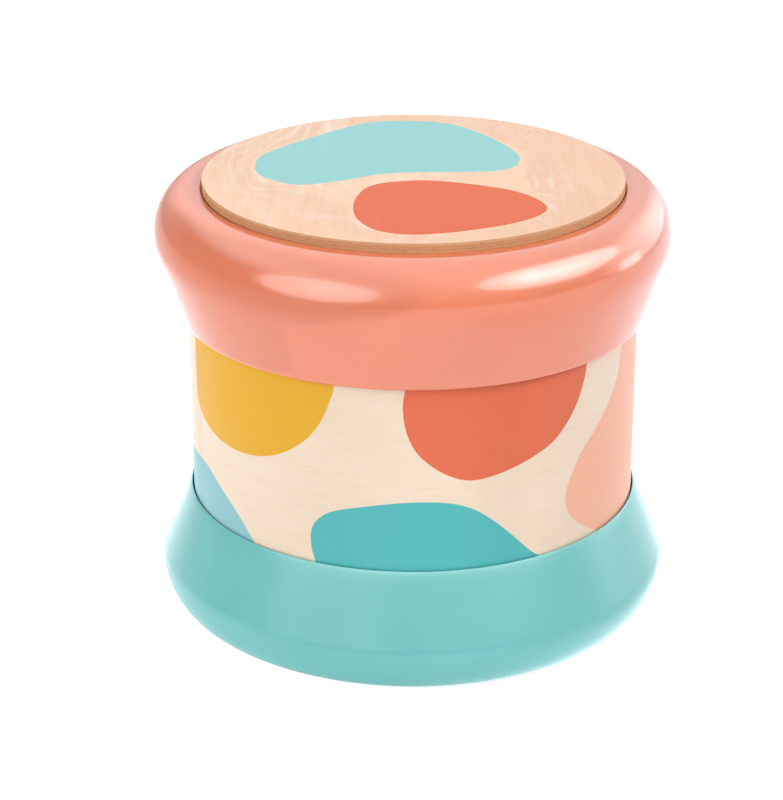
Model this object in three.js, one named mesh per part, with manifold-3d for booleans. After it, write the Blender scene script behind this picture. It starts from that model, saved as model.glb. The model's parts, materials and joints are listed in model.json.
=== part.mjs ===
// A child's electronic tap drum: a plywood tap plate floats on springs in a moulded rim, over a
// bent plywood shell and a flared base that holds the loudspeaker, the cells and the sound board.
// Millimetres, +Z up. The origin is on the table, on the drum's own axis; the front is -Y.
import * as THREE from 'three';
import { mergeVertices } from 'three/addons/utils/BufferGeometryUtils.js';
import Module from 'manifold-3d';

const wasm = await Module();
wasm.setup();

// Clearances
const gap = 0.3; // between two pieces that touch, and round a screw in its hole
const plateGap = 0.8; // open all round the tap plate, so that it runs free
const lipClearance = 0.4; // round the shell, inside the lips that it plugs into
const past = 1; // how far a cut runs past a surface, and a joined shape into one

// Overall form
const shellRadius = 65.7; // outside of the plywood shell
const shellWall = 3;
const shellShow = 54.9; // wood that shows between base and rim
const baseHeight = 34.8; // the base's lower edge to its upper lip
const rimHeight = 36.9; // the rim's lower lip to its crest
const plateProud = 2.6; // the tap plate's top above the crest
const footProud = 1; // the base's lower edge above the table
const plasticWall = 2.4; // skins of rim and base
const innerWall = 2; // walls, ledges and spigots inside them

// Rim
const rimLip = 1; // thickness of its lower edge
const rimLipRound = 0.9; // height of that edge's rounding
const rimLipLand = 2.4; // height of the upright wall inside it
const rimTaper = 7.2; // how far the taper widens the rim
const rimTaperRise = 21.5; // and over what height
const rimCorner = 4; // length of taper that the soft corner takes up
const rimShoulder = 13.1; // height of the round shoulder
const crestSetback = 11; // from the widest radius in to the crest
const lipRoll = 2.4; // width of the roll from the crest down into the recess
const lipRollDrop = 1.8; // its height
const socketDepth = 8; // how far the shell plugs into rim and base
const spigotReach = 6.7; // how far each spigot reaches into the shell
const ribCount = 6;
const ribWall = 1.6;

// Base
const baseLip = 0.5; // thickness of its upper edge
const baseLipRound = 0.7;
const baseFlare = 8.8; // how far the flare widens the base
const baseWidest = 11.5; // height of the widest point above the lower edge
const flareCorner = 3.2; // height that the soft corner takes up
const underTuck = 7.3; // how far the lower edge draws in again
const underFull = 1.75; // fullness of that curve: 2 is an ellipse, 1 a straight line
const underLand = 2.1; // width of the lower edge itself
const bottomRecess = 1.2; // the bottom plate above the lower edge
const bottomWall = 2.5; // thickness of the bottom plate
const flangeWidth = 3.5; // of the flange that the bottom plate closes against
const blindFloor = 0.6; // plastic left under a blind screw hole

// Posts and their screws, on a circle inside the shell
const postCount = 3;
const postStart = 90; // azimuth of the first post, in degrees
const postRadius = 4.2;
const postInset = 5.7; // post axis inside the shell's bore
const basePostLift = 5; // the base's posts end this far above the bottom plate
const tieShank = 1.5;
const tieHead = 2.9;
const tieHeadHeight = 2;
const tieSeatDrop = 8; // screw seat below the shell's seat
const tieBite = 10; // thread in the rim's post
const deckBite = 8; // thread of the deck screws in the same posts
const bossRadius = 3.6; // of the bosses for the bottom screws
const bossHeight = 9;
const bossBore = 8; // depth of their holes
const bossInset = 2.5; // boss axis inside the shell's bore

// Tap plate and what carries it
const plateThickness = 3;
const plateEdge = 0.4; // sanded edge
const plateTravel = 1.6; // down to the spring cups' rims
const carrierInset = 3.8; // carrier's edge inside the plate's
const carrierWall = 2;
const springHeight = 8;
const springRadius = 4.4; // to the middle of the wire
const springWire = 1;
const springTurns = 4.5;
const guideCount = 3;
const guideStart = 90;
const guideInset = 22.7; // from the shell's bore
const guideRadius = 3; // of the guide posts under the carrier
const washerRadius = 5.5;
const washerThickness = 0.8;
const deckWall = 2;
const deckClearance = 0.4; // between the deck's edge and the recess
const ventRadius = 7; // of the deck's vents, through which the plate's screws are reached
const cupWall = 1; // of the cups round the springs, which also stop the plate
const plateScrewInset = 17.7; // from the shell's bore
const plateSkin = 0.7; // wood left above the screws' pilot holes
const smallShank = 1.1; // of the small self-tapping screws
const smallHead = 2.6;
const smallHeadHeight = 1.3;
const stopBite = 8;

// Tap switch
const boardThickness = 1.6;
const boardScrewInset = 3.6; // of the screws from the ends of both boards
const tapBoardLength = 30;
const tapBoardWidth = 15;
const domeRadius = 6;
const domeHeight = 4.2;
const tapBossHeight = 4.8; // of the deck's bosses under the tap board

// Loudspeaker
const speakerRadius = 22.5;
const speakerDepth = 9.5; // flange to the magnet
const speakerFlange = 1.2;
const speakerInset = 33.7; // its axis from the shell's bore
const magnetRadius = 12;
const magnetHeight = 6;
const coneTravel = 0.4; // each way
const coneWall = 0.6;
const speakerRing = 1.6; // wall of the ring that locates it
const grilleHole = 1.6;
const grillePitch = 5.4;
const speakerScrewHead = 3.8; // its edge laps over the flange

// Cells, their bay and its door
const cellRadius = 5.25;
const cellLength = 44.5;
const cellNub = 1.9; // radius of the positive end's nub
const cellNubHeight = 1.2;
const cellCount = 2;
const cellEdge = 0.4;
const cellSpacing = 1; // between two cells
const contactThickness = 0.5;
const contactSpring = 4.2; // length of the negative end's spring
const contactWidth = 8;
const contactTag = 2.4;
const contactWire = 0.7;
const bayWall = 1.6;
const baySpeakerGap = 3.5; // between the speaker's ring and the bay
const doorThickness = 2;
const doorTongue = 7; // the door beyond the bay at each end, for its screw
const doorOverlap = 1.2; // the door beyond the bay at its sides
const doorCorner = 3;
const doorHeadHeight = 0.8;
const doorBite = 6;

// Sound board
const soundBoardLength = 44;
const soundBoardWidth = 21;
const soundBoardLift = 2; // above the bay's roof
const chipRadius = 5;
const chipHeight = 1.8;

// Switch on the underside
const switchLength = 14;
const switchWidth = 8;
const switchHeight = 5;
const switchX = 42;
const switchY = 6;
const knobLength = 3.6;
const knobWidth = 2.8;
const knobTravel = 4; // off, low, high
const knobFlange = 0.8; // wider than its stem, on every side
const knobFlangeHeight = 1;
const knobTip = 0.6; // its tip inside the base's lower edge

// Feet
const footCount = 4;
const footStart = 45;
const footRadius = 6;
const footCircle = 52; // the circle that they stand on
const footSink = 0.8; // depth of their recesses

// Leads
const leadRadius = 0.9;
const leadStep = 4; // from one point of a lead's route to the next, where it bends
const leadLap = 2; // of its soldered end over what it ends on
const leadStandOff = 3; // from the spigot to the middle of the tap lead
const leadHole = 2.4; // radius of its hole in the deck
const leadHoleX = -22;

// How round things are drawn
const ringSegments = 40;
const discSegments = 28;
const rodSegments = 12;
const screwSegments = 8;
const leadSides = 6;
const curveSteps = 3; // on an outside
const insideSteps = 1;

// Radii and heights that follow from those
const boreRadius = shellRadius - shellWall;
const socketRadius = shellRadius + lipClearance;
const spigotOuter = boreRadius - gap;
const spigotInner = spigotOuter - innerWall;
const rimLipRadius = socketRadius + rimLip;
const rimTaperStart = rimLipRadius + 0.8 * rimLipRound;
const rimRadius = rimTaperStart + rimTaper;
const crestRadius = rimRadius - crestSetback;
const recessRadius = crestRadius - lipRoll;
const plateRadius = recessRadius - plateGap;
const baseLipRadius = socketRadius + baseLip;
const baseRadius = baseLipRadius + baseFlare;
const baseEdgeRadius = baseRadius - underTuck;
const openingRadius = baseEdgeRadius - underLand;
const postCircle = boreRadius - postInset;
const bossCircle = boreRadius - bossInset;
const ledgeInner = spigotInner - innerWall;
const guideCircle = boreRadius - guideInset;
const plateScrewCircle = boreRadius - plateScrewInset;
const speakerShift = speakerInset - boreRadius;

const baseEdgeZ = footProud;
const bottomZ = baseEdgeZ + bottomRecess;
const bottomTopZ = bottomZ + bottomWall;
const flangeZ = bottomTopZ + gap;
const baseLipZ = baseEdgeZ + baseHeight;
const shellBottomZ = baseLipZ - socketDepth + gap;
const rimLipZ = baseLipZ + shellShow;
const shellTopZ = rimLipZ + socketDepth;
const crestZ = rimLipZ + rimHeight;
const plateTopZ = crestZ + plateProud;
const plateZ = plateTopZ - plateThickness;
const carrierTopZ = plateZ - gap;
const carrierZ = carrierTopZ - carrierWall;
const deckTopZ = carrierZ - springHeight - 2 * gap;
const deckZ = deckTopZ - deckWall;
const ledgeTopZ = deckZ - gap;
const ledgeZ = ledgeTopZ - innerWall;
const rimSpigotZ = rimLipZ + socketDepth - spigotReach;
const baseSpigotZ = baseLipZ - socketDepth + spigotReach;
const baseLedgeZ = baseLipZ - socketDepth - innerWall;
const tieSeatZ = baseLipZ - socketDepth - tieSeatDrop;

// Finishes
const coral = finish(0xf08f6c, 0.25);
const turquoise = finish(0x7cc8c6, 0.25);
const plywood = finish(0xf0dcc4, 0.6);
const whitePlastic = finish(0xe8e5de, 0.5);
const rubber = finish(0xb9c4c2, 0.9);
const steel = finish(0xb9bcc0, 0.35, 0.9);
const darkPlastic = finish(0x2b2d30, 0.5);
const boardGreen = finish(0x2f6b46, 0.5);
const paper = finish(0x3a3634, 0.9);
const cellCase = finish(0x6f7a80, 0.4, 0.4);
const leadRed = finish(0xb33a32, 0.5);

function finish(color, roughness, metalness = 0) {
  return new THREE.MeshStandardMaterial({ color, roughness, metalness, flatShading: true });
}

// Shapes

function point(radius, z) {
  return new THREE.Vector2(radius, z);
}

// A profile of radius and height, turned about +Z. It runs up on its outside.
function turned(profile, segments = ringSegments) {
  return new THREE.LatheGeometry(profile, segments).rotateX(Math.PI / 2);
}

function ring(profile, segments = ringSegments) {
  return turned([...profile, profile[0]], segments);
}

function rod(radius, bottom, top, at = { x: 0, y: 0 }, segments = rodSegments) {
  const height = top - bottom;
  return new THREE.CylinderGeometry(radius, radius, height, segments)
    .rotateX(Math.PI / 2)
    .translate(at.x, at.y, bottom + height / 2);
}

// What a round hole takes away.
function bore(radius, bottom, top, at) {
  return rod(radius, bottom, top, at, screwSegments);
}

function block(length, width, bottom, top, at = { x: 0, y: 0 }) {
  return new THREE.BoxGeometry(length, width, top - bottom).translate(at.x, at.y, (bottom + top) / 2);
}

function roundedBlock(length, width, corner, bottom, top, at = { x: 0, y: 0 }) {
  const x = length / 2 - corner;
  const y = width / 2 - corner;
  const shape = new THREE.Shape()
    .absarc(x, y, corner, 0, Math.PI / 2)
    .absarc(-x, y, corner, Math.PI / 2, Math.PI)
    .absarc(-x, -y, corner, Math.PI, 1.5 * Math.PI)
    .absarc(x, -y, corner, 1.5 * Math.PI, 2 * Math.PI);
  const options = { depth: top - bottom, bevelEnabled: false, curveSegments: 4 };
  return new THREE.ExtrudeGeometry(shape, options).translate(at.x, at.y, bottom);
}

// Evenly spaced places on a circle round +Z.
function places(count, radius, startDegrees) {
  return Array.from({ length: count }, (_, i) => {
    const angle = THREE.MathUtils.degToRad(startDegrees + (360 * i) / count);
    return { x: radius * Math.cos(angle), y: radius * Math.sin(angle), angle };
  });
}

// A closed geometry as a solid that can be joined and cut.
function solid(geometry) {
  const bare = geometry.clone();
  bare.deleteAttribute('normal');
  bare.deleteAttribute('uv');
  const merged = mergeVertices(bare);
  const corners = merged.index.array;
  const faces = [];
  for (let i = 0; i < corners.length; i += 3) {
    const [a, b, c] = corners.slice(i, i + 3);
    if (a !== b && b !== c && c !== a) faces.push(a, b, c);
  }
  const mesh = new wasm.Mesh({
    numProp: 3,
    vertProperties: merged.attributes.position.array,
    triVerts: new Uint32Array(faces),
  });
  return new wasm.Manifold(mesh);
}

function shaped(body, { join = [], cut = [] }) {
  let result = solid(body);
  for (const piece of join) result = result.add(solid(piece));
  for (const piece of cut) result = result.subtract(solid(piece));
  const mesh = result.getMesh();
  return new THREE.BufferGeometry()
    .setAttribute('position', new THREE.BufferAttribute(mesh.vertProperties, 3))
    .setIndex(new THREE.BufferAttribute(mesh.triVerts, 1));
}

function piece(name, geometry, material, x = 0, y = 0, z = 0) {
  const mesh = new THREE.Mesh(geometry, material);
  mesh.name = name;
  mesh.position.set(x, y, z);
  return mesh;
}

function group(...members) {
  return new THREE.Group().add(...members);
}

// Outlines

// A run of points moved inwards, square to the run, with its inside on the left.
function inset(points, distance) {
  return points.map((p, i) => {
    const before = points[Math.max(i - 1, 0)];
    const after = points[Math.min(i + 1, points.length - 1)];
    const along = after.clone().sub(before).normalize();
    return point(p.x - along.y * distance, p.y + along.x * distance);
  });
}

// The stretch of a rising run of points between two heights.
function between(points, low, high) {
  const at = (z) => {
    const i = Math.max(1, points.findIndex((p) => p.y >= z));
    const share = (z - points[i - 1].y) / (points[i].y - points[i - 1].y);
    return points[i - 1].clone().lerp(points[i], share);
  };
  return [at(low), ...points.filter((p) => p.y > low && p.y < high), at(high)];
}

// The rim's skin from its lower lip, up the taper and over the shoulder to the crest.
function rimSkin(steps) {
  const slope = rimTaper / rimTaperRise;
  const lipTop = rimLipZ + rimLipRound;
  const widestZ = rimLipZ + rimTaperRise;
  return new THREE.Path()
    .moveTo(rimLipRadius, rimLipZ)
    .quadraticCurveTo(rimTaperStart, rimLipZ, rimTaperStart + slope * rimLipRound, lipTop)
    .lineTo(rimRadius - slope * rimCorner, widestZ - rimCorner)
    .quadraticCurveTo(rimRadius, widestZ, rimRadius, crestZ - rimShoulder)
    .absellipse(crestRadius, crestZ - rimShoulder, crestSetback, rimShoulder, 0, Math.PI / 2)
    .getPoints(steps);
}

// The base's skin from its lower edge, round the tuck and up the flare to the lip.
function baseSkin(steps) {
  const widestZ = baseEdgeZ + baseWidest;
  const cornerMid = widestZ + flareCorner / 2;
  const slope = baseFlare / (baseLipZ - cornerMid);
  const lipWidth = slope * baseLipRound;
  const tuck = Array.from({ length: 2 * steps + 1 }, (_, i) => {
    const angle = (Math.PI / 2) * (1 - i / (2 * steps));
    const out = Math.cos(angle) ** (2 / underFull);
    const down = Math.sin(angle) ** (2 / underFull);
    return point(baseEdgeRadius + underTuck * out, widestZ - baseWidest * down);
  });
  const flare = new THREE.Path()
    .moveTo(baseRadius, widestZ)
    .quadraticCurveTo(baseRadius, cornerMid, baseRadius - (slope * flareCorner) / 2, widestZ + flareCorner)
    .lineTo(baseLipRadius + lipWidth, baseLipZ - baseLipRound)
    .quadraticCurveTo(baseLipRadius + lipWidth / 2, baseLipZ, baseLipRadius, baseLipZ)
    .getPoints(steps);
  return [...tuck, ...flare.slice(1)];
}

// Screws: the head's underside is at z = 0, the shank points up

function screw(shank, length, head, headHeight) {
  const tip = shank;
  const profile = [
    point(0, -headHeight),
    point(0.8 * head, -headHeight),
    point(head, -0.6 * headHeight),
    point(head, 0),
    point(shank, 0),
    point(shank, length - tip),
    point(0, length),
  ];
  return turned(profile, screwSegments);
}

// The same with a cross recess, for a head that shows.
function crossScrew(shank, length, head, headHeight) {
  const depth = -0.4 * headHeight;
  const arm = 1.3 * head;
  const slot = 0.22 * head;
  const cut = [
    block(arm, slot, -2 * headHeight, depth),
    block(slot, arm, -2 * headHeight, depth),
  ];
  return shaped(screw(shank, length, head, headHeight), { cut });
}

function washer(outer, inner, thickness) {
  const profile = [point(inner, 0), point(outer, 0), point(outer, thickness), point(inner, thickness)];
  return ring(profile, rodSegments);
}

// One round wire wound about +Z from z = 0, as an unbroken tube with flat ends.
function coil({ start, end, wire, height, turns, steps = 8, sides = 5 }) {
  const count = Math.round(turns * steps);
  const corners = [];
  for (let i = 0; i <= count; i += 1) {
    const share = i / count;
    const angle = 2 * Math.PI * turns * share;
    const radius = start + (end - start) * share;
    const z = wire / 2 + (height - wire) * share;
    for (let j = 0; j < sides; j += 1) {
      const round = (2 * Math.PI * j) / sides;
      const out = radius + (wire / 2) * Math.cos(round);
      corners.push(out * Math.cos(angle), out * Math.sin(angle), z + (wire / 2) * Math.sin(round));
    }
  }
  const faces = [];
  for (let i = 0; i < count; i += 1) {
    for (let j = 0; j < sides; j += 1) {
      const a = i * sides + j;
      const b = i * sides + ((j + 1) % sides);
      faces.push(a, a + sides, b, b, a + sides, b + sides);
    }
  }
  for (let j = 1; j < sides - 1; j += 1) {
    faces.push(0, j, j + 1);
    faces.push(count * sides, count * sides + j + 1, count * sides + j);
  }
  return new THREE.BufferGeometry()
    .setAttribute('position', new THREE.Float32BufferAttribute(corners, 3))
    .setIndex(faces);
}

// A soft lead along points chosen by hand.
function lead(points, radius = leadRadius) {
  const path = new THREE.CatmullRomCurve3(points.map((p) => new THREE.Vector3(...p)));
  const round = places(leadSides, radius, 0).map(({ x, y }) => point(x, y));
  const section = new THREE.Shape(round);
  const options = { steps: 2 * (points.length - 1), extrudePath: path, bevelEnabled: false };
  return new THREE.ExtrudeGeometry(section, options);
}

// Rim, shell and base

function topRim() {
  const skin = rimSkin(curveSteps);
  const roll = new THREE.Path()
    .moveTo(crestRadius, crestZ)
    .quadraticCurveTo(recessRadius, crestZ, recessRadius, crestZ - lipRollDrop)
    .getPoints(curveSteps);
  const channel = Math.max(recessRadius + innerWall, spigotOuter);
  const underside = inset(rimSkin(insideSteps), plasticWall)
    .filter((p) => p.x > socketRadius && p.y < crestZ - plasticWall);
  const body = ring([
    point(socketRadius, rimLipZ),
    ...skin,
    ...roll.slice(1),
    point(recessRadius, ledgeTopZ),
    point(ledgeInner, ledgeTopZ),
    point(ledgeInner, ledgeZ),
    point(spigotInner, ledgeZ),
    point(spigotInner, rimSpigotZ),
    point(spigotOuter, rimSpigotZ),
    point(spigotOuter, ledgeZ),
    point(channel, ledgeZ),
    point(channel, crestZ - plasticWall),
    ...underside.reverse(),
    point(socketRadius, rimLipZ + rimLipLand),
  ]);
  const posts = places(postCount, postCircle, postStart);
  return shaped(body, {
    join: [
      ...places(ribCount, 1, 0).map(({ angle }) => rimRib(skin, angle)),
      ...posts.map((at) => rod(postRadius, rimSpigotZ, ledgeTopZ, at)),
    ],
    cut: [
      ...posts.map((at) => bore(tieShank + gap, rimSpigotZ - past, rimSpigotZ + tieBite + gap, at)),
      ...posts.map((at) => bore(tieShank + gap, ledgeTopZ - deckBite - gap, ledgeTopZ + past, at)),
    ],
  });
}

// One rib between the spigot and the rim's skin; the shell's upper end meets its lower edge.
function rimRib(skin, angle) {
  const root = (spigotInner + spigotOuter) / 2;
  const outside = between(inset(skin, plasticWall / 2), shellTopZ + gap, ledgeTopZ);
  const outline = [point(root, shellTopZ + gap), ...outside, point(root, ledgeTopZ)];
  return new THREE.ExtrudeGeometry(new THREE.Shape(outline), { depth: ribWall, bevelEnabled: false })
    .translate(0, 0, -ribWall / 2)
    .rotateX(Math.PI / 2)
    .rotateZ(angle);
}

function drumShell() {
  return ring([
    point(boreRadius, shellBottomZ),
    point(shellRadius, shellBottomZ),
    point(shellRadius, shellTopZ),
    point(boreRadius, shellTopZ),
  ]);
}

function baseShell() {
  const skin = baseSkin(curveSteps);
  const seat = baseLipZ - socketDepth;
  const inside = between(inset(baseSkin(insideSteps), plasticWall), flangeZ + innerWall, baseLedgeZ);
  const body = ring([
    point(openingRadius, baseEdgeZ),
    ...skin,
    point(socketRadius, baseLipZ),
    point(socketRadius, seat),
    point(spigotOuter, seat),
    point(spigotOuter, baseSpigotZ),
    point(spigotInner, baseSpigotZ),
    point(spigotInner, baseLedgeZ),
    ...inside.reverse(),
    point(openingRadius - flangeWidth, flangeZ + innerWall),
    point(openingRadius - flangeWidth, flangeZ),
    point(openingRadius, flangeZ),
  ]);
  const posts = places(postCount, postCircle, postStart);
  const bosses = places(postCount, bossCircle, postStart + 180);
  const postFoot = bottomTopZ + basePostLift;
  return shaped(body, {
    join: [
      ...posts.map((at) => rod(postRadius, postFoot, baseSpigotZ, at)),
      ...bosses.map((at) => rod(bossRadius, flangeZ, flangeZ + bossHeight, at)),
    ],
    cut: [
      ...posts.map((at) => rod(tieHead + gap, postFoot - past, tieSeatZ, at)),
      ...posts.map((at) => bore(tieShank + gap, tieSeatZ - past, baseSpigotZ + past, at)),
      ...bosses.map((at) => bore(smallShank + gap, flangeZ - past, flangeZ + bossBore, at)),
    ],
  });
}

function tieScrews() {
  const seat = tieSeatZ - gap;
  const geometry = screw(tieShank, rimSpigotZ + tieBite - seat, tieHead, tieHeadHeight);
  const at = places(postCount, postCircle, postStart);
  return at.map(({ x, y }, i) => piece(`tie_screw_${i + 1}`, geometry, steel, x, y, seat));
}

// Tap plate, its carrier and the deck that it floats over

function drumPlate() {
  const pilots = places(guideCount, plateScrewCircle, guideStart + 180);
  const disc = turned([
    point(0, plateZ),
    point(plateRadius, plateZ),
    point(plateRadius, plateTopZ - plateEdge),
    point(plateRadius - plateEdge, plateTopZ),
    point(0, plateTopZ),
  ]);
  const cut = pilots.map((at) => bore(smallShank + gap, plateZ - past, plateTopZ - plateSkin, at));
  return shaped(disc, { cut });
}

function plateCarrier() {
  const guides = places(guideCount, guideCircle, guideStart);
  const holes = places(guideCount, plateScrewCircle, guideStart + 180);
  const domeTop = deckTopZ + gap + boardThickness + gap + domeHeight;
  return shaped(rod(plateRadius - carrierInset, carrierZ, carrierTopZ, undefined, discSegments), {
    join: [
      ...guides.map((at) => rod(guideRadius, deckZ, carrierZ + past, at)),
      rod(domeRadius / 2, domeTop + gap, carrierZ + past),
    ],
    cut: [
      ...guides.map((at) => bore(smallShank + gap, deckZ - past, deckZ + stopBite, at)),
      ...holes.map((at) => bore(smallShank + gap, carrierZ - past, carrierTopZ + past, at)),
    ],
  });
}

function springDeck() {
  const guides = places(guideCount, guideCircle, guideStart);
  const screws = places(postCount, postCircle, postStart);
  const vents = places(guideCount, plateScrewCircle, guideStart + 180);
  const boardScrews = tapBoardScrews();
  const cupInner = springRadius + springWire / 2 + gap;
  const cupTop = carrierZ - plateTravel - gap;
  const bossEnd = deckZ - tapBossHeight;
  return shaped(rod(recessRadius - deckClearance, deckZ, deckTopZ, undefined, discSegments), {
    join: [
      ...guides.map((at) => rod(cupInner + cupWall, deckTopZ - past, cupTop, at)),
      ...boardScrews.map((at) => rod(smallHead, bossEnd, deckZ + past, at)),
    ],
    cut: [
      ...guides.map((at) => rod(cupInner, deckTopZ, cupTop + past, at)),
      ...guides.map((at) => rod(guideRadius + gap, deckZ - past, deckTopZ + past, at)),
      ...screws.map((at) => bore(tieShank + gap, deckZ - past, deckTopZ + past, at)),
      ...vents.map((at) => rod(ventRadius, deckZ - past, deckTopZ + past, at)),
      ...boardScrews.map((at) => bore(smallShank + gap, bossEnd + past, deckTopZ + past, at)),
      bore(leadHole, deckZ - past, deckTopZ + past, { x: leadHoleX, y: 0 }),
    ],
  });
}

function tapBoardScrews() {
  const x = tapBoardLength / 2 - boardScrewInset;
  return [{ x: -x, y: 0 }, { x, y: 0 }];
}

// The parts that move down together when the plate is struck.
function tapPlate() {
  const pilots = places(guideCount, plateScrewCircle, guideStart + 180);
  const guides = places(guideCount, guideCircle, guideStart);
  const plateSeat = carrierZ - gap;
  const plateScrew = screw(smallShank, plateTopZ - plateSkin - gap - plateSeat, smallHead, smallHeadHeight);
  const washerZ = deckZ - gap - washerThickness;
  const stopSeat = washerZ - gap;
  const stopScrew = screw(smallShank, deckZ + stopBite - gap - stopSeat, smallHead, smallHeadHeight);
  const stopWasher = washer(washerRadius, smallShank + gap, washerThickness);
  return group(
    piece('drum_plate', drumPlate(), plywood),
    piece('plate_carrier', plateCarrier(), whitePlastic),
    ...pilots.map(({ x, y }, i) => piece(`plate_screw_${i + 1}`, plateScrew, steel, x, y, plateSeat)),
    ...guides.map(({ x, y }, i) => piece(`stop_washer_${i + 1}`, stopWasher, steel, x, y, washerZ)),
    ...guides.map(({ x, y }, i) => piece(`stop_screw_${i + 1}`, stopScrew, steel, x, y, stopSeat)),
  );
}

function tapDeck() {
  const spring = coil({
    start: springRadius, end: springRadius, wire: springWire, height: springHeight, turns: springTurns,
  });
  const guides = places(guideCount, guideCircle, guideStart);
  const screws = places(postCount, postCircle, postStart);
  const deckScrew = screw(tieShank, deckWall + gap + deckBite, tieHead, tieHeadHeight).rotateX(Math.PI);
  const boardScrewLength = boardThickness + deckWall + tapBossHeight - past;
  const boardScrew = screw(smallShank, boardScrewLength, smallHead, smallHeadHeight).rotateX(Math.PI);
  const boardZ = deckTopZ + gap;
  const boardTop = boardZ + boardThickness;
  const board = shaped(block(tapBoardLength, tapBoardWidth, boardZ, boardTop), {
    cut: tapBoardScrews().map((at) => bore(smallShank + gap, boardZ - past, boardTop + past, at)),
  });
  return group(
    piece('spring_deck', springDeck(), whitePlastic),
    ...guides.map(({ x, y }, i) => piece(`return_spring_${i + 1}`, spring, steel, x, y, deckTopZ + gap)),
    ...screws.map(({ x, y }, i) => piece(`deck_screw_${i + 1}`, deckScrew, steel, x, y, deckTopZ + gap)),
    piece('tap_board', board, boardGreen),
    ...tapBoardScrews().map(({ x, y }, i) =>
      piece(`tap_board_screw_${i + 1}`, boardScrew, steel, x, y, boardTop + gap)),
    piece('rubber_dome', rubberDome(), rubber, 0, 0, boardTop + gap),
  );
}

function rubberDome() {
  const skirt = domeHeight / 5;
  return turned([
    point(0, domeHeight - skirt),
    point(0.35 * domeRadius, domeHeight - skirt),
    point(0.6 * domeRadius, 0),
    point(domeRadius, 0),
    point(domeRadius, skirt),
    point(0.78 * domeRadius, 1.3 * skirt),
    point(0.55 * domeRadius, domeHeight),
    point(0, domeHeight),
  ], rodSegments);
}

// Loudspeaker, facing down on to the grille

function speaker() {
  const z = bottomTopZ + gap;
  const flangeTop = z + speakerFlange;
  const basketTop = z + speakerDepth;
  const neck = magnetRadius / 2;
  const bowl = speakerRadius - 2 * innerWall;
  const frame = ring([
    point(bowl, z),
    point(speakerRadius, z),
    point(speakerRadius, flangeTop),
    point(bowl + 1, flangeTop),
    point(magnetRadius, basketTop),
    point(neck, basketTop),
    point(neck, basketTop - speakerFlange),
    point(magnetRadius - 1, basketTop - speakerFlange),
  ], discSegments);
  const room = coneTravel + 2 * gap;
  const coneOuter = bowl - room;
  const coneZ = z + speakerFlange / 2;
  const coneTop = basketTop - speakerFlange - room;
  const cone = turned([
    point(0, coneZ + 1 + coneWall),
    point(neck, coneZ + 2),
    point(neck + 1, coneTop - coneWall),
    point(coneOuter - 2 * coneWall, coneZ),
    point(coneOuter, coneZ),
    point(magnetRadius - room - 2, coneTop),
    point(neck - 1, coneTop),
    point(neck - coneWall - 0.5, coneZ + 2.5),
    point(0, coneZ + 1 + 2 * coneWall),
  ], discSegments);
  const magnet = turned([
    point(0, basketTop + gap),
    point(magnetRadius, basketTop + gap),
    point(magnetRadius, basketTop + gap + magnetHeight),
    point(0, basketTop + gap + magnetHeight),
  ], discSegments);
  const shank = speakerRing + bottomWall - 1;
  const clamp = screw(smallShank, shank, speakerScrewHead, smallHeadHeight).rotateX(Math.PI);
  const members = [
    piece('speaker_frame', frame, darkPlastic),
    piece('speaker_cone', cone, paper),
    piece('speaker_magnet', magnet, steel),
    ...speakerBosses().map(({ x, y }, i) =>
      piece(`speaker_screw_${i + 1}`, clamp, steel, x, y, flangeTop + gap)),
  ];
  const unit = group(...members);
  unit.position.y = speakerShift;
  return unit;
}

// Two screws, left and right of the speaker, whose heads lap over its flange.
function speakerBosses() {
  const x = speakerRadius + gap + smallHead;
  return [{ x: -x, y: 0 }, { x, y: 0 }];
}

// Cells and their contacts, in the bay's own frame: the cells lie along X

const cellPitch = 2 * cellRadius + cellSpacing;
const bayLength = cellLength + contactSpring + 2 * contactThickness + 4 * gap;
const bayWidth = cellCount * 2 * cellRadius + (cellCount - 1) * cellSpacing + 2 * gap;
const bayFloorZ = bottomZ + doorThickness + gap;
const cellZ = bayFloorZ + cellRadius;
const bayTopZ = cellZ + cellRadius + gap;
const bayRoofZ = bayTopZ + bayWall;
const ringOuter = speakerRadius + gap + speakerRing;
const bayY = speakerShift + ringOuter + baySpeakerGap + bayWall + doorOverlap + bayWidth / 2;
const doorLength = bayLength + 2 * doorTongue;
const doorWidth = bayWidth + 2 * doorOverlap;
const doorScrewX = bayLength / 2 + doorTongue / 2;
const rowY = ((cellCount - 1) * cellPitch) / 2;

function cell() {
  const half = cellLength / 2;
  return turned([
    point(0, -half),
    point(cellRadius - cellEdge, -half),
    point(cellRadius, cellEdge - half),
    point(cellRadius, half - cellNubHeight - cellEdge),
    point(cellRadius - cellEdge, half - cellNubHeight),
    point(cellNub, half - cellNubHeight),
    point(cellNub, half),
    point(0, half),
  ], rodSegments).rotateY(Math.PI / 2);
}

// A spring leaf against the bay's end wall, with a solder tag through the roof and, for each
// negative cell end, a wire cone. It is drawn against the wall at -X.
function contact(width, springRows) {
  const thickness = contactThickness;
  const plate = block(thickness, width, bayFloorZ + gap, bayTopZ - gap);
  const tag = block(thickness, contactTag, bayTopZ - past, bayRoofZ + soundBoardLift);
  const cone = coil({
    start: 0.7 * cellRadius, end: 0.35 * cellRadius, wire: contactWire, height: contactSpring, turns: 3,
  });
  cone.rotateY(Math.PI / 2).translate((thickness - contactWire) / 2, 0, cellZ);
  const cones = springRows.map((y) => cone.clone().translate(0, y, 0));
  return shaped(plate, { join: [tag, ...cones] });
}

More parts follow.
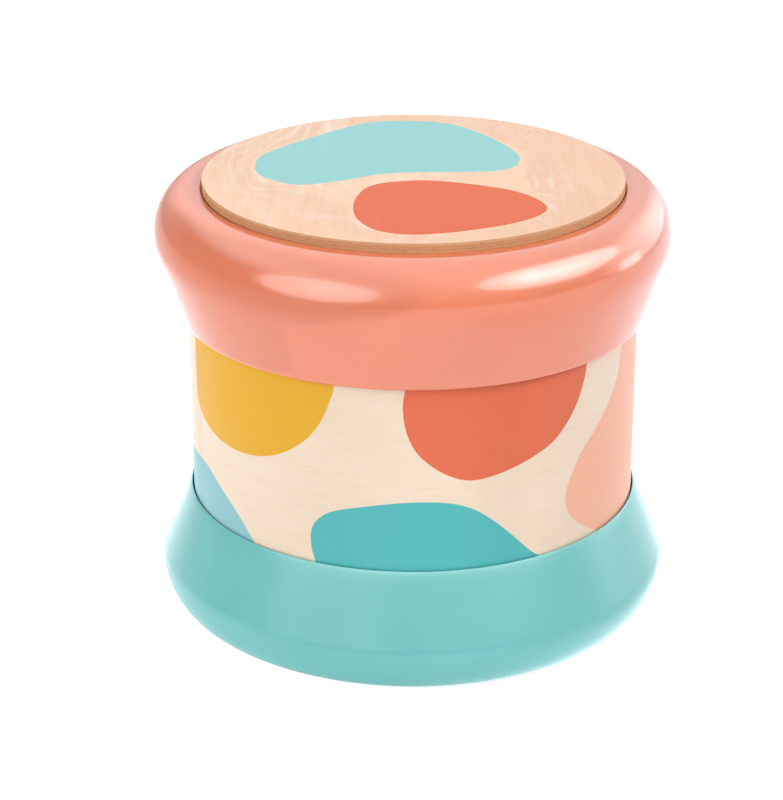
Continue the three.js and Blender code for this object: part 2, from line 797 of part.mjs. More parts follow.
function cellBay() {
  const wallX = bayLength / 2 - gap - contactThickness / 2;
  const forward = piece('battery_1', cell(), cellCase, 0, -rowY, cellZ);
  const reversed = piece('battery_2', cell().rotateZ(Math.PI), cellCase, 0, rowY, cellZ);
  const toNub = wallX - contactThickness / 2 - gap - cellLength / 2;
  forward.position.x = toNub;
  reversed.position.x = -toNub;
  const bridge = contact(contactWidth + cellPitch, [-rowY]).rotateZ(Math.PI);
  const unit = group(
    forward,
    reversed,
    piece('contact_bridge', bridge, steel, wallX),
    piece('contact_negative', contact(contactWidth, [0]), steel, -wallX, -rowY),
    piece('contact_positive', contact(contactWidth, []), steel, -wallX, rowY),
  );
  unit.position.y = bayY;
  return unit;
}

// Bottom plate with the grille, the cell bay and the seats of what it carries

function bottomPlate() {
  const bosses = places(postCount, bossCircle, postStart + 180);
  const feet = places(footCount, footCircle, footStart);
  const speakerAt = { x: 0, y: speakerShift };
  const bayAt = { x: 0, y: bayY };
  const roofAt = soundBoardScrews();
  const doorSeats = [-1, 1].map((side) => ({ x: side * doorScrewX, y: bayY }));
  const outerLength = bayLength + 2 * bayWall;
  const outerWidth = bayWidth + 2 * (doorOverlap + bayWall);
  const padTop = bayFloorZ + bayWall;
  const roofScrewTop = bayRoofZ + soundBoardLift + past;
  const speakerSeats = speakerBosses().map(({ x, y }) => ({ x, y: y + speakerShift }));
  const clampTop = bottomTopZ + speakerRing;
  const switchAt = { x: switchX, y: switchY };
  const cradleX = switchWidth / 2 + gap + bayWall / 2;
  const cradles = [-1, 1].map((side) => ({ x: switchX + side * cradleX, y: switchY }));
  const cradleTop = bottomTopZ + switchHeight;
  const knobSlot = knobLength + knobTravel + 2 * gap;
  return shaped(rod(openingRadius - gap, bottomZ, bottomTopZ, undefined, ringSegments), {
    join: [
      ring([
        point(speakerRadius + gap, bottomTopZ - past),
        point(ringOuter, bottomTopZ - past),
        point(ringOuter, clampTop),
        point(speakerRadius + gap, clampTop),
      ], discSegments).translate(0, speakerShift, 0),
      ...speakerSeats.map((at) => rod(smallHead, bottomTopZ - past, clampTop, at)),
      roundedBlock(doorLength + 2 * bayWall, outerWidth, doorCorner, bottomZ, padTop, bayAt),
      block(outerLength, bayWidth + 2 * bayWall, bayFloorZ, bayRoofZ, bayAt),
      ...doorSeats.map((at) => rod(smallHead, bayFloorZ, bayFloorZ + doorBite + bayWall, at)),
      ...roofAt.map((at) => rod(smallHead, bayRoofZ - past, bayRoofZ + soundBoardLift - gap, at)),
      ...cradles.map((at) => block(bayWall, switchLength / 2, bottomTopZ - past, cradleTop, at)),
    ],
    cut: [
      ...grille(speakerAt).map((at) => bore(grilleHole, bottomZ - past, bottomTopZ + past, at)),
      ...speakerSeats.map((at) => bore(smallShank + gap, bottomZ + blindFloor, clampTop + past, at)),
      roundedBlock(doorLength + 2 * gap, doorWidth + 2 * gap, doorCorner, bottomZ - past, bayFloorZ, bayAt),
      block(bayLength, bayWidth, bayFloorZ - past, bayTopZ, bayAt),
      ...doorSeats.map((at) => bore(smallShank + gap, bayFloorZ - past, bayFloorZ + doorBite, at)),
      ...roofAt.map((at) => bore(smallShank + gap, bayTopZ + blindFloor, roofScrewTop, at)),
      ...tagSlots(),
      ...bosses.map((at) => bore(smallShank + gap, bottomZ - past, bottomTopZ + past, at)),
      ...bosses.map((at) => rod(smallHead + gap, bottomZ - past, bottomZ + smallHeadHeight + gap, at)),
      ...feet.map((at) => rod(footRadius + gap, bottomZ - past, bottomZ + footSink, at, discSegments / 2)),
      block(knobWidth + 2 * gap, knobSlot, bottomZ - past, bottomTopZ + past, switchAt),
    ],
  });
}

function grille(centre) {
  const rings = [[1, 0], [6, grillePitch], [12, 2 * grillePitch]];
  return rings.flatMap(([count, radius]) =>
    places(count, radius, 0).map((at) => ({ x: centre.x + at.x, y: centre.y + at.y })));
}

function tagSlots() {
  const x = bayLength / 2 - gap - contactThickness / 2;
  const spots = [{ x: -x, y: bayY - rowY }, { x: -x, y: bayY + rowY }, { x, y: bayY }];
  return spots.map((at) =>
    block(contactThickness + 2 * gap, contactTag + 2 * gap, bayTopZ - past, bayRoofZ + past, at));
}

function bottomScrews() {
  const seat = bottomZ + smallHeadHeight;
  const geometry = crossScrew(smallShank, flangeZ + bossBore - gap - seat, smallHead, smallHeadHeight);
  const at = places(postCount, bossCircle, postStart + 180);
  return at.map(({ x, y }, i) => piece(`bottom_screw_${i + 1}`, geometry, steel, x, y, seat));
}

function rubberFeet() {
  const top = bottomZ + footSink - gap;
  const foot = turned([
    point(0, 0),
    point(footRadius - footProud / 2, 0),
    point(footRadius, footProud / 2),
    point(footRadius, top),
    point(0, top),
  ], discSegments / 2);
  const at = places(footCount, footCircle, footStart);
  return at.map(({ x, y }, i) => piece(`rubber_foot_${i + 1}`, foot, rubber, x, y));
}

// The door lifts off downwards with its two captive screws.
function batteryDoor() {
  const headRecess = doorHeadHeight + gap;
  const doorTop = bottomZ + doorThickness;
  const screwAt = [-1, 1].map((side) => ({ x: side * doorScrewX, y: 0 }));
  const door = shaped(
    roundedBlock(doorLength, doorWidth, doorCorner - gap, bottomZ, doorTop),
    {
      cut: [
        ...screwAt.map((at) => bore(smallShank + gap, bottomZ - past, doorTop + past, at)),
        ...screwAt.map((at) => rod(smallHead + gap, bottomZ - past, bottomZ + headRecess, at)),
      ],
    },
  );
  const seat = bottomZ + doorHeadHeight;
  const tip = bayFloorZ + doorBite - gap;
  const geometry = crossScrew(smallShank, tip - seat, smallHead, doorHeadHeight);
  const unit = group(
    piece('battery_door', door, turquoise),
    ...screwAt.map(({ x, y }, i) => piece(`door_screw_${i + 1}`, geometry, steel, x, y, seat)),
  );
  unit.position.y = bayY;
  return unit;
}

// Sound board over the bay's roof

function soundBoardScrews() {
  const x = soundBoardLength / 2 - boardScrewInset;
  return [{ x: -x, y: bayY }, { x, y: bayY }];
}

function soundBoard() {
  const z = bayRoofZ + soundBoardLift;
  const top = z + boardThickness;
  const board = shaped(block(soundBoardLength, soundBoardWidth, z, top, { x: 0, y: bayY }), {
    cut: soundBoardScrews().map((at) => bore(smallShank + gap, z - past, top + past, at)),
  });
  const chip = turned([
    point(0, top + gap),
    point(chipRadius, top + gap),
    point(0.85 * chipRadius, top + gap + 0.6 * chipHeight),
    point(0.4 * chipRadius, top + gap + chipHeight),
    point(0, top + gap + chipHeight),
  ], rodSegments);
  const shank = boardThickness + soundBoardLift;
  const geometry = screw(smallShank, shank, smallHead, smallHeadHeight).rotateX(Math.PI);
  return group(
    piece('sound_board', board, boardGreen),
    piece('sound_chip', chip, darkPlastic, 0, bayY),
    ...soundBoardScrews().map(({ x, y }, i) =>
      piece(`sound_board_screw_${i + 1}`, geometry, steel, x, y, top + gap)),
  );
}

// Slide switch: its knob stands at off, and moves along +Y

function modeSwitch() {
  const z = bottomTopZ + gap;
  const flangeLength = knobLength + 2 * knobFlange;
  const flangeWide = knobWidth + 2 * knobFlange;
  const stemTop = z + knobFlangeHeight + 1;
  const pocketTop = stemTop + gap;
  const body = shaped(block(switchWidth, switchLength, z, z + switchHeight), {
    cut: [block(flangeWide + 2 * gap, flangeLength + knobTravel + 2 * gap, z - past, pocketTop)],
  });
  const tipZ = baseEdgeZ + knobTip;
  const knob = shaped(block(knobWidth, knobLength, tipZ, stemTop), {
    join: [block(flangeWide, flangeLength, z, z + knobFlangeHeight)],
  });
  const unit = group(
    piece('switch_body', body, darkPlastic),
    piece('switch_knob', knob, whitePlastic, 0, -knobTravel / 2),
  );
  unit.position.set(switchX, switchY, 0);
  return unit;
}

// Leads, held at both ends by what they are soldered to

const soundBoardTop = bayRoofZ + soundBoardLift + boardThickness;
const soldered = leadRadius + gap;

function leads() {
  const tapTop = deckTopZ + gap + boardThickness + soldered;
  const soundTop = soundBoardTop + soldered;
  const boardEnd = soundBoardLength / 2;
  const wallX = -(spigotInner - leadStandOff);
  const tap = lead([
    [-tapBoardLength / 2 + leadLap, -leadStep, tapTop],
    [-tapBoardLength / 2 - leadStep, -leadStep / 2, tapTop],
    [leadHoleX, 0, deckTopZ + leadLap / 2],
    [leadHoleX, 0, deckZ - leadLap],
    [leadHoleX - 1.5 * leadStep, 0, deckZ - leadStep],
    [wallX + 2 * leadStep, 0, deckZ - leadStep],
    [wallX, 0, deckZ - 4 * leadStep],
    [wallX, 0, (deckZ + soundTop) / 2],
    [wallX, leadStep / 2, baseSpigotZ + 2 * leadStep],
    [wallX + 2 * leadStep, bayY - leadStep, soundTop + 2 * leadStep],
    [-boardEnd - leadStep, bayY - leadStep, soundTop + leadLap],
    [-boardEnd + leadLap, bayY - leadStep, soundTop],
  ]);
  const magnetTop = bottomTopZ + gap + speakerDepth + gap + magnetHeight;
  const terminal = magnetRadius / 2;
  const speakerLead = lead([
    [terminal, speakerShift + leadStep, magnetTop + soldered],
    [terminal + leadLap, speakerShift + 3 * leadStep, magnetTop + soldered + leadLap],
    [boardEnd / 2 - leadLap / 2, bayY - soundBoardWidth / 2 - leadStep, soundTop + leadLap],
    [boardEnd / 2, bayY - soundBoardWidth / 2 + leadLap, soundTop],
  ]);
  const tagX = -(bayLength / 2 - gap - contactThickness / 2);
  const cells = lead([
    [tagX - contactThickness / 2 - soldered, bayY + rowY, bayRoofZ + soldered],
    [tagX - soldered, bayY + rowY, soundTop],
    [tagX + leadLap, bayY + rowY, soundTop + leadLap],
    [-boardEnd + leadLap, bayY + rowY, soundTop],
  ]);
  const switchTop = bottomTopZ + gap + switchHeight + soldered;
  const control = lead([
    [switchX - leadLap / 2, switchY, switchTop],
    [switchX - 1.5 * leadStep, switchY + leadLap, switchTop + leadStep],
    [boardEnd + 1.5 * leadStep, bayY, soundTop + leadLap],
    [boardEnd - leadLap / 2, bayY + leadStep, soundTop],
  ]);
  return group(
    piece('tap_lead', tap, leadRed),
    piece('speaker_lead', speakerLead, leadRed),
    piece('battery_lead', cells, leadRed),
    piece('switch_lead', control, leadRed),
  );
}

const drum = group(
  tapPlate(),
  tapDeck(),
  piece('top_rim', topRim(), coral),
  piece('drum_shell', drumShell(), plywood),
  piece('base_shell', baseShell(), turquoise),
  ...tieScrews(),
  piece('bottom_plate', bottomPlate(), turquoise),
  ...bottomScrews(),
  ...rubberFeet(),
  speaker(),
  cellBay(),
  batteryDoor(),
  soundBoard(),
  modeSwitch(),
  leads(),
);

export default drum;
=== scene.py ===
# %% [markdown]
# # A child's tap drum
#
# The drum is a wooden tap plate in a coral plastic rim, over a tube of bent plywood with
# colour patches, on a flared turquoise base. Its shapes come packed from the CAD model, in
# metres, so every piece made here goes exactly where its plain solid is. The imported model is
# loaded first.

# %% Load the imported drum
import json
import math

import bmesh
import bpy
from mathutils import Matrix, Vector
from mathutils.geometry import delaunay_2d_cdt


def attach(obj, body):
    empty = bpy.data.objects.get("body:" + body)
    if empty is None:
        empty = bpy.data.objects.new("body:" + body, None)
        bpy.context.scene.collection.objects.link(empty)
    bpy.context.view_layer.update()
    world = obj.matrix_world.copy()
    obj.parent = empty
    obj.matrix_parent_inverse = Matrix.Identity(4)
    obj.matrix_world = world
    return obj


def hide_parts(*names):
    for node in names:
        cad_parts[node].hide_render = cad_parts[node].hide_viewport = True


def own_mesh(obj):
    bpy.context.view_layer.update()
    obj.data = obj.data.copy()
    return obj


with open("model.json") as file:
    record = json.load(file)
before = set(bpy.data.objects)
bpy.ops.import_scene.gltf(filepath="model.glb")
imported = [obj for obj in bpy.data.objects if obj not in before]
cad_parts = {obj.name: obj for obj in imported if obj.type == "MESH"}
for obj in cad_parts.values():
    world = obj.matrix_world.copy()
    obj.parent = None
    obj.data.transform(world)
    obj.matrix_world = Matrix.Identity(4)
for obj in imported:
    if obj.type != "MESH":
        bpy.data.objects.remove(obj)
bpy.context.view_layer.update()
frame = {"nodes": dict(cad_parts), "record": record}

nodes = frame["nodes"]
scene = bpy.context.scene
MM = 0.001  # metres

# %% [markdown]
# ## Camera
#
# The photograph looks down on the drum at about 23 degrees, from a little more than half a
# metre away, with a long lens. Its place was solved instead of nudged by eye: the rings of
# rim and base are round, so how flat they look gives the height and the distance.

# %% Camera
camera = bpy.data.objects.new("camera", bpy.data.cameras.new("camera"))
scene.collection.objects.link(camera)
camera.location = (0, -0.67877, 0.34546)
camera.rotation_euler = (math.radians(67.163), 0, math.radians(0.532))
camera.data.sensor_width = 36
camera.data.lens = 111.05
scene.camera = camera
scene.view_settings.view_transform = "Standard"
print(f"camera {camera.location.length:.3f} m from the drum's foot")

# %% [markdown]
# ## Light
#
# A product photograph of glossy plastic is lit with large soft boxes, because what shows in
# the gloss is the shape of the lamp. The rim's highlights give them away: a long soft one on
# the left, a bright one on the right with a small hot core, and a slim one at its edge. Each
# lamp is placed by the direction in which the drum sees it, and gets its brightness from
# its size, so that the colours come out about as they are written. Glow lamps are seen in
# the gloss alone, of the rim or of the base: they draw the highlights without lighting the
# wood. The left fill does the opposite: it lights, but no gloss shows it.

# %% Soft boxes
middle = Vector((0, 0, 0.07))
on_rim = bpy.data.collections.new("rim_gloss")
on_base = bpy.data.collections.new("base_gloss")


def towards(azimuth, elevation):
    """The direction to the right of the front by azimuth, and up by elevation, in degrees."""
    a, e = math.radians(azimuth), math.radians(elevation)
    return Vector((math.sin(a) * math.cos(e), -math.cos(a) * math.cos(e), math.sin(e)))


LAMP_DISTANCE = 1.3
FEATHER = 0.8  # how much of its size a feathered lamp loses over its steps


def soft_box(name, azimuth, elevation, wide, high, brightness, glow=None, shape="RECTANGLE"):
    """A flat lamp that spans wide by high degrees, seen from the drum.

    With glow, a collection, it is seen only in the gloss of the pieces in there.
    """
    lamp = bpy.data.lights.new(name, "AREA")
    lamp.shape = shape
    lamp.size = 2 * LAMP_DISTANCE * math.tan(math.radians(wide / 2))
    lamp.size_y = 2 * LAMP_DISTANCE * math.tan(math.radians(high / 2))
    area = lamp.size * lamp.size_y * (math.pi / 4 if shape == "ELLIPSE" else 1)
    lamp.energy = brightness * math.pi * area
    thing = bpy.data.objects.new(name, lamp)
    scene.collection.objects.link(thing)
    thing.location = middle + LAMP_DISTANCE * towards(azimuth, elevation)
    thing.rotation_euler = (middle - thing.location).to_track_quat("-Z", "Y").to_euler()
    thing.visible_camera = False
    if glow:
        thing.visible_diffuse = False
        thing.light_linking.receiver_collection = glow
    print(f"{name}: {lamp.size:.2f} x {lamp.size_y:.2f} m, {lamp.energy:.1f} W")
    return thing


def feathered(name, azimuth, elevation, wide, high, brightness, steps=6, **more):
    """Lamps inside each other, brighter inwards, so that the light fades towards its edges."""
    for i in range(steps):
        size = 1 - FEATHER * i / steps
        part = brightness * 2 * (i + 1) / (steps * (steps + 1))
        soft_box(f"{name}_{i + 1}", azimuth, elevation, wide * size, high * size, part, **more)


feathered("left_box", -42, 23, wide=58, high=56, brightness=11.5, steps=4, shape="ELLIPSE")
feathered("left_glow", -42, 22, wide=50, high=40, brightness=78, glow=on_rim, shape="ELLIPSE")
feathered("right_box", 70, 38, wide=70, high=46, brightness=7, steps=4, shape="ELLIPSE")
soft_box("right_core", 71, 38, wide=40, high=17, brightness=5.0, shape="ELLIPSE")
feathered("right_glow", 71, 38, wide=66, high=38, brightness=200, steps=8, glow=on_rim, shape="ELLIPSE")
soft_box("right_heart", 71, 38, wide=42, high=16, brightness=60, glow=on_rim, shape="ELLIPSE")
left_fill = soft_box("left_fill", -105, 15, wide=80, high=60, brightness=0.85)
left_fill.visible_glossy = False
soft_box("window", 104, 5, wide=15, high=12, brightness=4.0, glow=on_rim)
feathered("lip_glow", 0, 60, wide=130, high=80, brightness=48, steps=5, glow=on_base)
feathered("side_glow", 104, 12, wide=80, high=48, brightness=4.5, steps=4, glow=on_base)

# %% [markdown]
# The world, the finishes and the floor are all small trees of nodes. These helpers keep each
# tree short enough to read. Wherever one takes a value, that is a number or what another
# node gives.

# %% Node helpers
def shade(red, green, blue):
    """A colour as a screen shows it, 0 to 255, in the linear light that shaders mix."""
    return tuple(
        v / 12.92 if v <= 0.04045 else ((v + 0.055) / 1.055) ** 2.4
        for v in (red / 255, green / 255, blue / 255)
    ) + (1,)


class Nodes:
    """A tree of shader nodes while it is being laid out."""

    def __init__(self, tree):
        self.tree = tree

    def feed(self, sockets, values):
        """Gives each of the sockets its value."""
        for socket, value in zip(sockets, values):
            if isinstance(value, bpy.types.NodeSocket):
                self.tree.links.new(value, socket)
            else:
                socket.default_value = value

    def node(self, kind, *values, **settings):
        """A node with its settings, whose first sockets get the values."""
        node = self.tree.nodes.new(kind)
        for name, value in settings.items():
            setattr(node, name, value)
        self.feed(node.inputs, values)
        return node

    def fill(self, node, **sockets):
        """Gives the node's sockets their values by name."""
        self.feed([node.inputs[name.replace("_", " ")] for name in sockets], sockets.values())

    def math(self, operation, *values):
        return self.node("ShaderNodeMath", *values, operation=operation).outputs[0]

    def times(self, first, second):
        return self.math("MULTIPLY", first, second)

    def spread(self, value, low, high, to_low=0.0, to_high=1.0, kind="LINEAR"):
        """Value from low to high becomes to_low to to_high, and stops there."""
        values = (value, low, high, to_low, to_high)
        return self.node("ShaderNodeMapRange", *values, interpolation_type=kind).outputs[0]

    def mix(self, share, *colours):
        """The first colour where share is 0, the second where it is 1.

        A colour of three numbers is one as a screen shows it.
        """
        node = self.node("ShaderNodeMix", share, data_type="RGBA")
        colours = [shade(*c) if isinstance(c, tuple) and len(c) == 3 else c for c in colours]
        self.feed(node.inputs[6:8], colours)
        return node.outputs[2]

    def in_gloss(self, rays):
        """1 for what is seen in gloss or through something clear, else 0."""
        return self.math("MAXIMUM", rays["Is Glossy Ray"], rays["Is Transmission Ray"])


print("node helpers ready")

# %% [markdown]
# The world is the rest of the studio. Straight into the camera it is plain white. In the
# gloss it is a white tent: brightest overhead, where the rim's shoulder has its pale veil,
# and fading down to a dim horizon, which draws the saturated band under the shoulder. On the
# left the tent ends in a clear edge, on the right it hangs lower. For soft light the world
# only fills the shade. One gradient would be simpler, but would lose that band.

# %% World
world = bpy.data.worlds.new("studio")
scene.world = world
world.use_nodes = True
studio = Nodes(world.node_tree)
studio.tree.nodes.clear()


def ramp(value, *ends):
    """A soft ramp between the ends that spread takes."""
    return studio.spread(value, *ends, kind="SMOOTHSTEP")


def blend(share, first, second):
    """The first level where share is 0, the second where it is 1."""
    return studio.math("ADD", first, studio.times(studio.math("SUBTRACT", second, first), share))


rays = studio.node("ShaderNodeLightPath").outputs
heading = studio.node("ShaderNodeTexCoord").outputs["Generated"]
right_of, behind, above = studio.node("ShaderNodeSeparateXYZ", heading).outputs
front_tent = studio.math("MULTIPLY_ADD", above, 3.3, 0.6)
left_tent = ramp(above, 0.38, 0.82, 0.5, 4.6)
right_tent = ramp(above, -0.35, 0.62, 2.2, 6.4)
on_left = ramp(right_of, -0.80, -0.30, 1, 0)
back_right = studio.math("MULTIPLY_ADD", behind, 0.57, studio.times(right_of, 0.82))
on_right = ramp(back_right, 0.74, 0.98, 0, 1)
tent = blend(on_right, blend(on_left, front_tent, left_tent), right_tent)
low_down = ramp(above, -0.3, 0.3, 1, 0)
back_wall = studio.times(ramp(back_right, 0.60, 0.95, 0, 1.0), low_down)
tent = studio.math("MAXIMUM", studio.math("ADD", tent, back_wall), 0.2)
fill = studio.math("MULTIPLY_ADD", above, -0.05, 0.35)
level = blend(rays["Is Camera Ray"], blend(studio.in_gloss(rays), fill, tent), 1.0)
sky = studio.node("ShaderNodeBackground", (0.98, 0.99, 1.02, 1), level).outputs[0]
plain = studio.node("ShaderNodeBackground", (1, 1, 1, 1)).outputs[0]
seen = studio.node("ShaderNodeMixShader", rays["Is Camera Ray"], sky, plain).outputs[0]
studio.node("ShaderNodeOutputWorld", seen)
print(f"studio world with {len(studio.tree.nodes)} nodes")

# %% [markdown]
# ## Materials
#
# Every finish is a small tree of nodes round one Principled shader. The shader's own sockets
# hold what is the same all over, such as the gloss of the lacquer. Noise in the object's own
# coordinates gives what varies: mottled colour, uneven polish, fine bumps.

# %% Helpers for the finishes
class Finish(Nodes):
    """A material while its nodes are being laid out."""

    def __init__(self, name, **sockets):
        self.material = bpy.data.materials.new(name)
        self.material.use_nodes = True
        super().__init__(self.material.node_tree)
        self.shader = self.tree.nodes["Principled BSDF"]
        self.spot = self.node("ShaderNodeTexCoord").outputs["Object"]
        self.set(**sockets)

    def stretched(self, scale, turn=0, spot=None):
        """Coordinates in metres, turned by degrees about Z, times scale along each axis."""
        node = self.node("ShaderNodeMapping", spot or self.spot)
        self.fill(node, Rotation=(0, 0, math.radians(turn)), Scale=scale)
        return node.outputs[0]

    def noise(self, scale, detail=2, rough=0.5, turn=0, spot=None, warp=0):
        """Noise, finer by scale, which is one number or one for each axis."""
        if isinstance(scale, tuple):
            spot, scale = self.stretched(scale, turn, spot), 1
        node = self.node("ShaderNodeTexNoise", spot or self.spot)
        self.fill(node, Scale=scale, Detail=detail, Roughness=rough, Distortion=warp)
        return node.outputs["Fac"]

    def bump(self, height, strength, distance):
        """One more layer of bumps, on top of those that the shader has."""
        node = self.node("ShaderNodeBump")
        self.fill(node, Height=height, Strength=strength, Distance=distance)
        for link in self.shader.inputs["Normal"].links:
            self.fill(node, Normal=link.from_socket)
        self.set(Normal=node.outputs[0])

    def set(self, **sockets):
        """Fills the shader's sockets and returns the material."""
        self.fill(self.shader, **sockets)
        return self.material


print("finish helpers ready")

# %% [markdown]
# Moulded ABS is even in colour, but never quite: the pigment clouds a little where the melt
# flowed, the mould's polish is uneven, and handling leaves faint matt spots. So the colour
# drifts by a few steps, and roughness varies round a satin gloss. The coral is a little
# milky: light that enters the rim's crest comes out again in the gap round the plate.

# %% Moulded plastic
def moulded(name, colour, deeper, polish=0.11, mirror=0.5, milky=0.0):
    """Glossy moulded plastic, whose colour drifts between two close shades.

    milky is the share of the light that enters and comes out again nearby.
    """
    finish = Finish(name, IOR=1.5, Specular_IOR_Level=mirror, Subsurface_Weight=milky)
    finish.set(Subsurface_Radius=(1.0, 0.35, 0.2), Subsurface_Scale=2 * MM)
    drift = finish.noise(28, detail=3)
    colour_here = finish.mix(finish.spread(drift, 0.35, 0.65), deeper, colour)
    wear = finish.noise(70)
    finish.bump(finish.noise(1400, detail=1), 0.05, 0.00002)
    finish.bump(finish.noise(60, detail=1), 0.10, 0.0002)
    roughness = finish.spread(wear, 0.3, 0.7, polish - 0.02, polish + 0.03)
    return finish.set(Base_Color=colour_here, Roughness=roughness)


coral = moulded("coral_plastic", (232, 131, 93), (229, 128, 90), milky=0.3)
turquoise = moulded("turquoise_plastic", (112, 191, 188), (108, 188, 185), polish=0.21, mirror=0.34)
white_plastic = moulded("white_plastic", (232, 229, 221), (226, 222, 213), polish=0.42)
dark_plastic = moulded("dark_plastic", (43, 45, 48), (36, 38, 41), polish=0.45)
print("moulded plastics:", [m.name for m in (coral, turquoise, white_plastic, dark_plastic)])

# %% [markdown]
# The plate's face veneer is rotary cut, so it shows wide wavy figure: the knife crosses the
# growth rings at a shallow angle. Contour lines of a slow noise field, pulled long with the
# grain, have just that look. Pale lines come and go along them, and short fine pores lie
# between. The clear lacquer over it is thin and satin.

# %% Plate veneer
GRAIN_TURN = 14  # degrees
INK_COVER = 0.97  # the share of the wood's own colour that an ink hides


def plate_figure(finish):
    """The wavy figure from 0 to 1, and the fine pores from 0 to 1."""
    slow = finish.stretched((1, 0.34, 1), GRAIN_TURN)
    field = finish.noise(19, detail=3, spot=slow, warp=0.6)
    bands = finish.math("FRACT", finish.times(field, 24))
    line = finish.times(finish.spread(bands, 0.0, 0.14), finish.spread(bands, 0.42, 0.16))
    fades = finish.spread(finish.noise(34, spot=slow), 0.42, 0.62)
    figure = finish.times(line, fades)
    pores = finish.noise((2600, 190, 400), detail=3, rough=0.7, turn=GRAIN_TURN)
    return figure, finish.spread(pores, 0.42, 0.66)


def veneer(name, ink=None):
    """Face veneer, bare or under an ink."""
    finish = Finish(name, IOR=1.45, Specular_IOR_Level=0.25)
    figure, pores = plate_figure(finish)
    tone = finish.spread(finish.noise(15, detail=3, warp=0.8), 0.36, 0.64)
    wood = finish.mix(tone, (247, 204, 172), (249, 212, 184))
    wood = finish.mix(finish.times(figure, 0.7), wood, (254, 236, 221))
    wood = finish.mix(finish.times(pores, 0.16), wood, (222, 172, 140))
    streaks = finish.noise((420, 26, 100), detail=3, rough=0.6, turn=GRAIN_TURN, warp=0.5)
    wood = finish.mix(finish.spread(streaks, 0.44, 0.68, 0, 0.4), wood, (236, 186, 152))
    if ink:
        wood = finish.mix(INK_COVER, wood, ink)
    finish.bump(pores, 0.10, 0.00004)
    rough = finish.spread(figure, 0, 1, 0.58, 0.52)
    return finish.set(Base_Color=wood, Roughness=rough)


plate_wood = veneer("plate_veneer")
plate_teal = veneer("plate_teal_ink", (142, 202, 200))
plate_coral = veneer("plate_coral_ink", (210, 96, 60))
print("plate veneers ready")

# %% [markdown]
# The edge of the board shows its plies: the face veneers are cut along the grain and look
# pale, the core is end grain and darker, and a thin glue line parts them. They are bands of
# faces, each with a streaky wood of its own.

# %% Ply edges
def ply(name, colour, deeper):
    finish = Finish(name, IOR=1.45)
    streaks = finish.noise((500, 500, 2600), detail=4, rough=0.65)
    specks = finish.noise(900)
    wood = finish.mix(finish.spread(streaks, 0.35, 0.65), deeper, colour)
    wood = finish.mix(finish.spread(specks, 0.62, 0.72, 0, 0.35), wood, (150, 92, 60))
    finish.bump(streaks, 0.25, 0.00006)
    return finish.set(Base_Color=wood, Roughness=0.6)


ply_face = ply("ply_face_edge", (197, 155, 113), (184, 138, 97))
ply_core = ply("ply_core_edge", (186, 145, 101), (172, 126, 84))
ply_glue = ply("ply_glue_line", (168, 108, 70), (156, 96, 60))
print("ply edges ready")

# %% [markdown]
# The shell's veneer runs round the drum. Its figure is fine level streaks, with many short
# darker flecks. The coordinates are unrolled first: the angle round the drum times its
# radius, and the height, so that the streaks bend with the tube. Where the unrolled sheet
# ends, at the back, the real sheet has its joint.

# %% Shell veneer
SHELL_RADIUS = 65.7
SHELL_INK_COVER = 0.96


def unrolled(finish):
    """Distance round the shell, and height, in metres."""
    x, y, z = finish.node("ShaderNodeSeparateXYZ", finish.spot).outputs
    angle = finish.math("ARCTAN2", x, finish.times(y, -1))
    distance = finish.times(angle, SHELL_RADIUS * MM)
    return finish.node("ShaderNodeCombineXYZ", distance, z).outputs[0]


def shell_veneer(name, ink=None):
    finish = Finish(name, IOR=1.45, Specular_IOR_Level=0.3)
    flat = unrolled(finish)
    long = finish.noise((14, 330, 1), detail=3, rough=0.6, spot=flat, warp=0.3)
    fine = finish.noise((90, 2300, 1), rough=0.6, spot=flat)
    fleck = finish.noise((430, 2900, 1), detail=1, spot=flat)
    cloud = finish.noise((22, 40, 1), spot=flat)
    wood = finish.mix(finish.spread(cloud, 0.35, 0.65), (229, 208, 185), (235, 216, 196))
    wood = finish.mix(finish.spread(long, 0.42, 0.66, 0, 0.3), wood, (228, 204, 178))
    wood = finish.mix(finish.spread(fine, 0.5, 0.72, 0, 0.35), wood, (220, 194, 166))
    wood = finish.mix(finish.spread(fleck, 0.67, 0.77, 0, 0.35), wood, (196, 162, 132))
    if ink:
        wood = finish.mix(SHELL_INK_COVER, wood, ink)
    finish.bump(fine, 0.15, 0.00005)
    return finish.set(Base_Color=wood, Roughness=finish.spread(long, 0.3, 0.7, 0.5, 0.42))


shell_wood = shell_veneer("shell_veneer")
INK_COLOURS = {
    "yellow": (220, 164, 10), "red": (212, 97, 61), "teal": (62, 172, 172), "peach": (238, 173, 144),
    "blue": (126, 180, 186),
}
shell_inks = {k: shell_veneer(f"shell_{k}_ink", v) for k, v in INK_COLOURS.items()}
print("shell veneer and", len(shell_inks), "inks ready")

# %% [markdown]
# Steel, rubber, paper, board and the cells' cases are mostly hidden, but each still gets the
# detail that its maker leaves on it: brushed or drawn steel, dull rubber with dust, felted
# paper, and a lacquered board with copper tracks under its green.

# %% Other finishes
def brushed(name, colour, polish):
    finish = Finish(name, Metallic=1.0)
    lines = finish.noise((900, 900, 5200), detail=3)
    tone = finish.mix(finish.spread(lines, 0.3, 0.7), tuple(v - 14 for v in colour), colour)
    finish.bump(lines, 0.12, 0.00002)
    return finish.set(Base_Color=tone, Roughness=finish.spread(lines, 0.3, 0.7, polish, polish + 0.14))


def dull(name, colour, deeper, scale, depth, rough):
    finish = Finish(name, IOR=1.45)
    grain = finish.noise(scale, detail=4, rough=0.65)
    tone = finish.mix(finish.spread(grain, 0.35, 0.65), deeper, colour)
    finish.bump(grain, 0.35, depth)
    return finish.set(Base_Color=tone, Roughness=finish.spread(grain, 0.3, 0.7, rough, rough - 0.1))


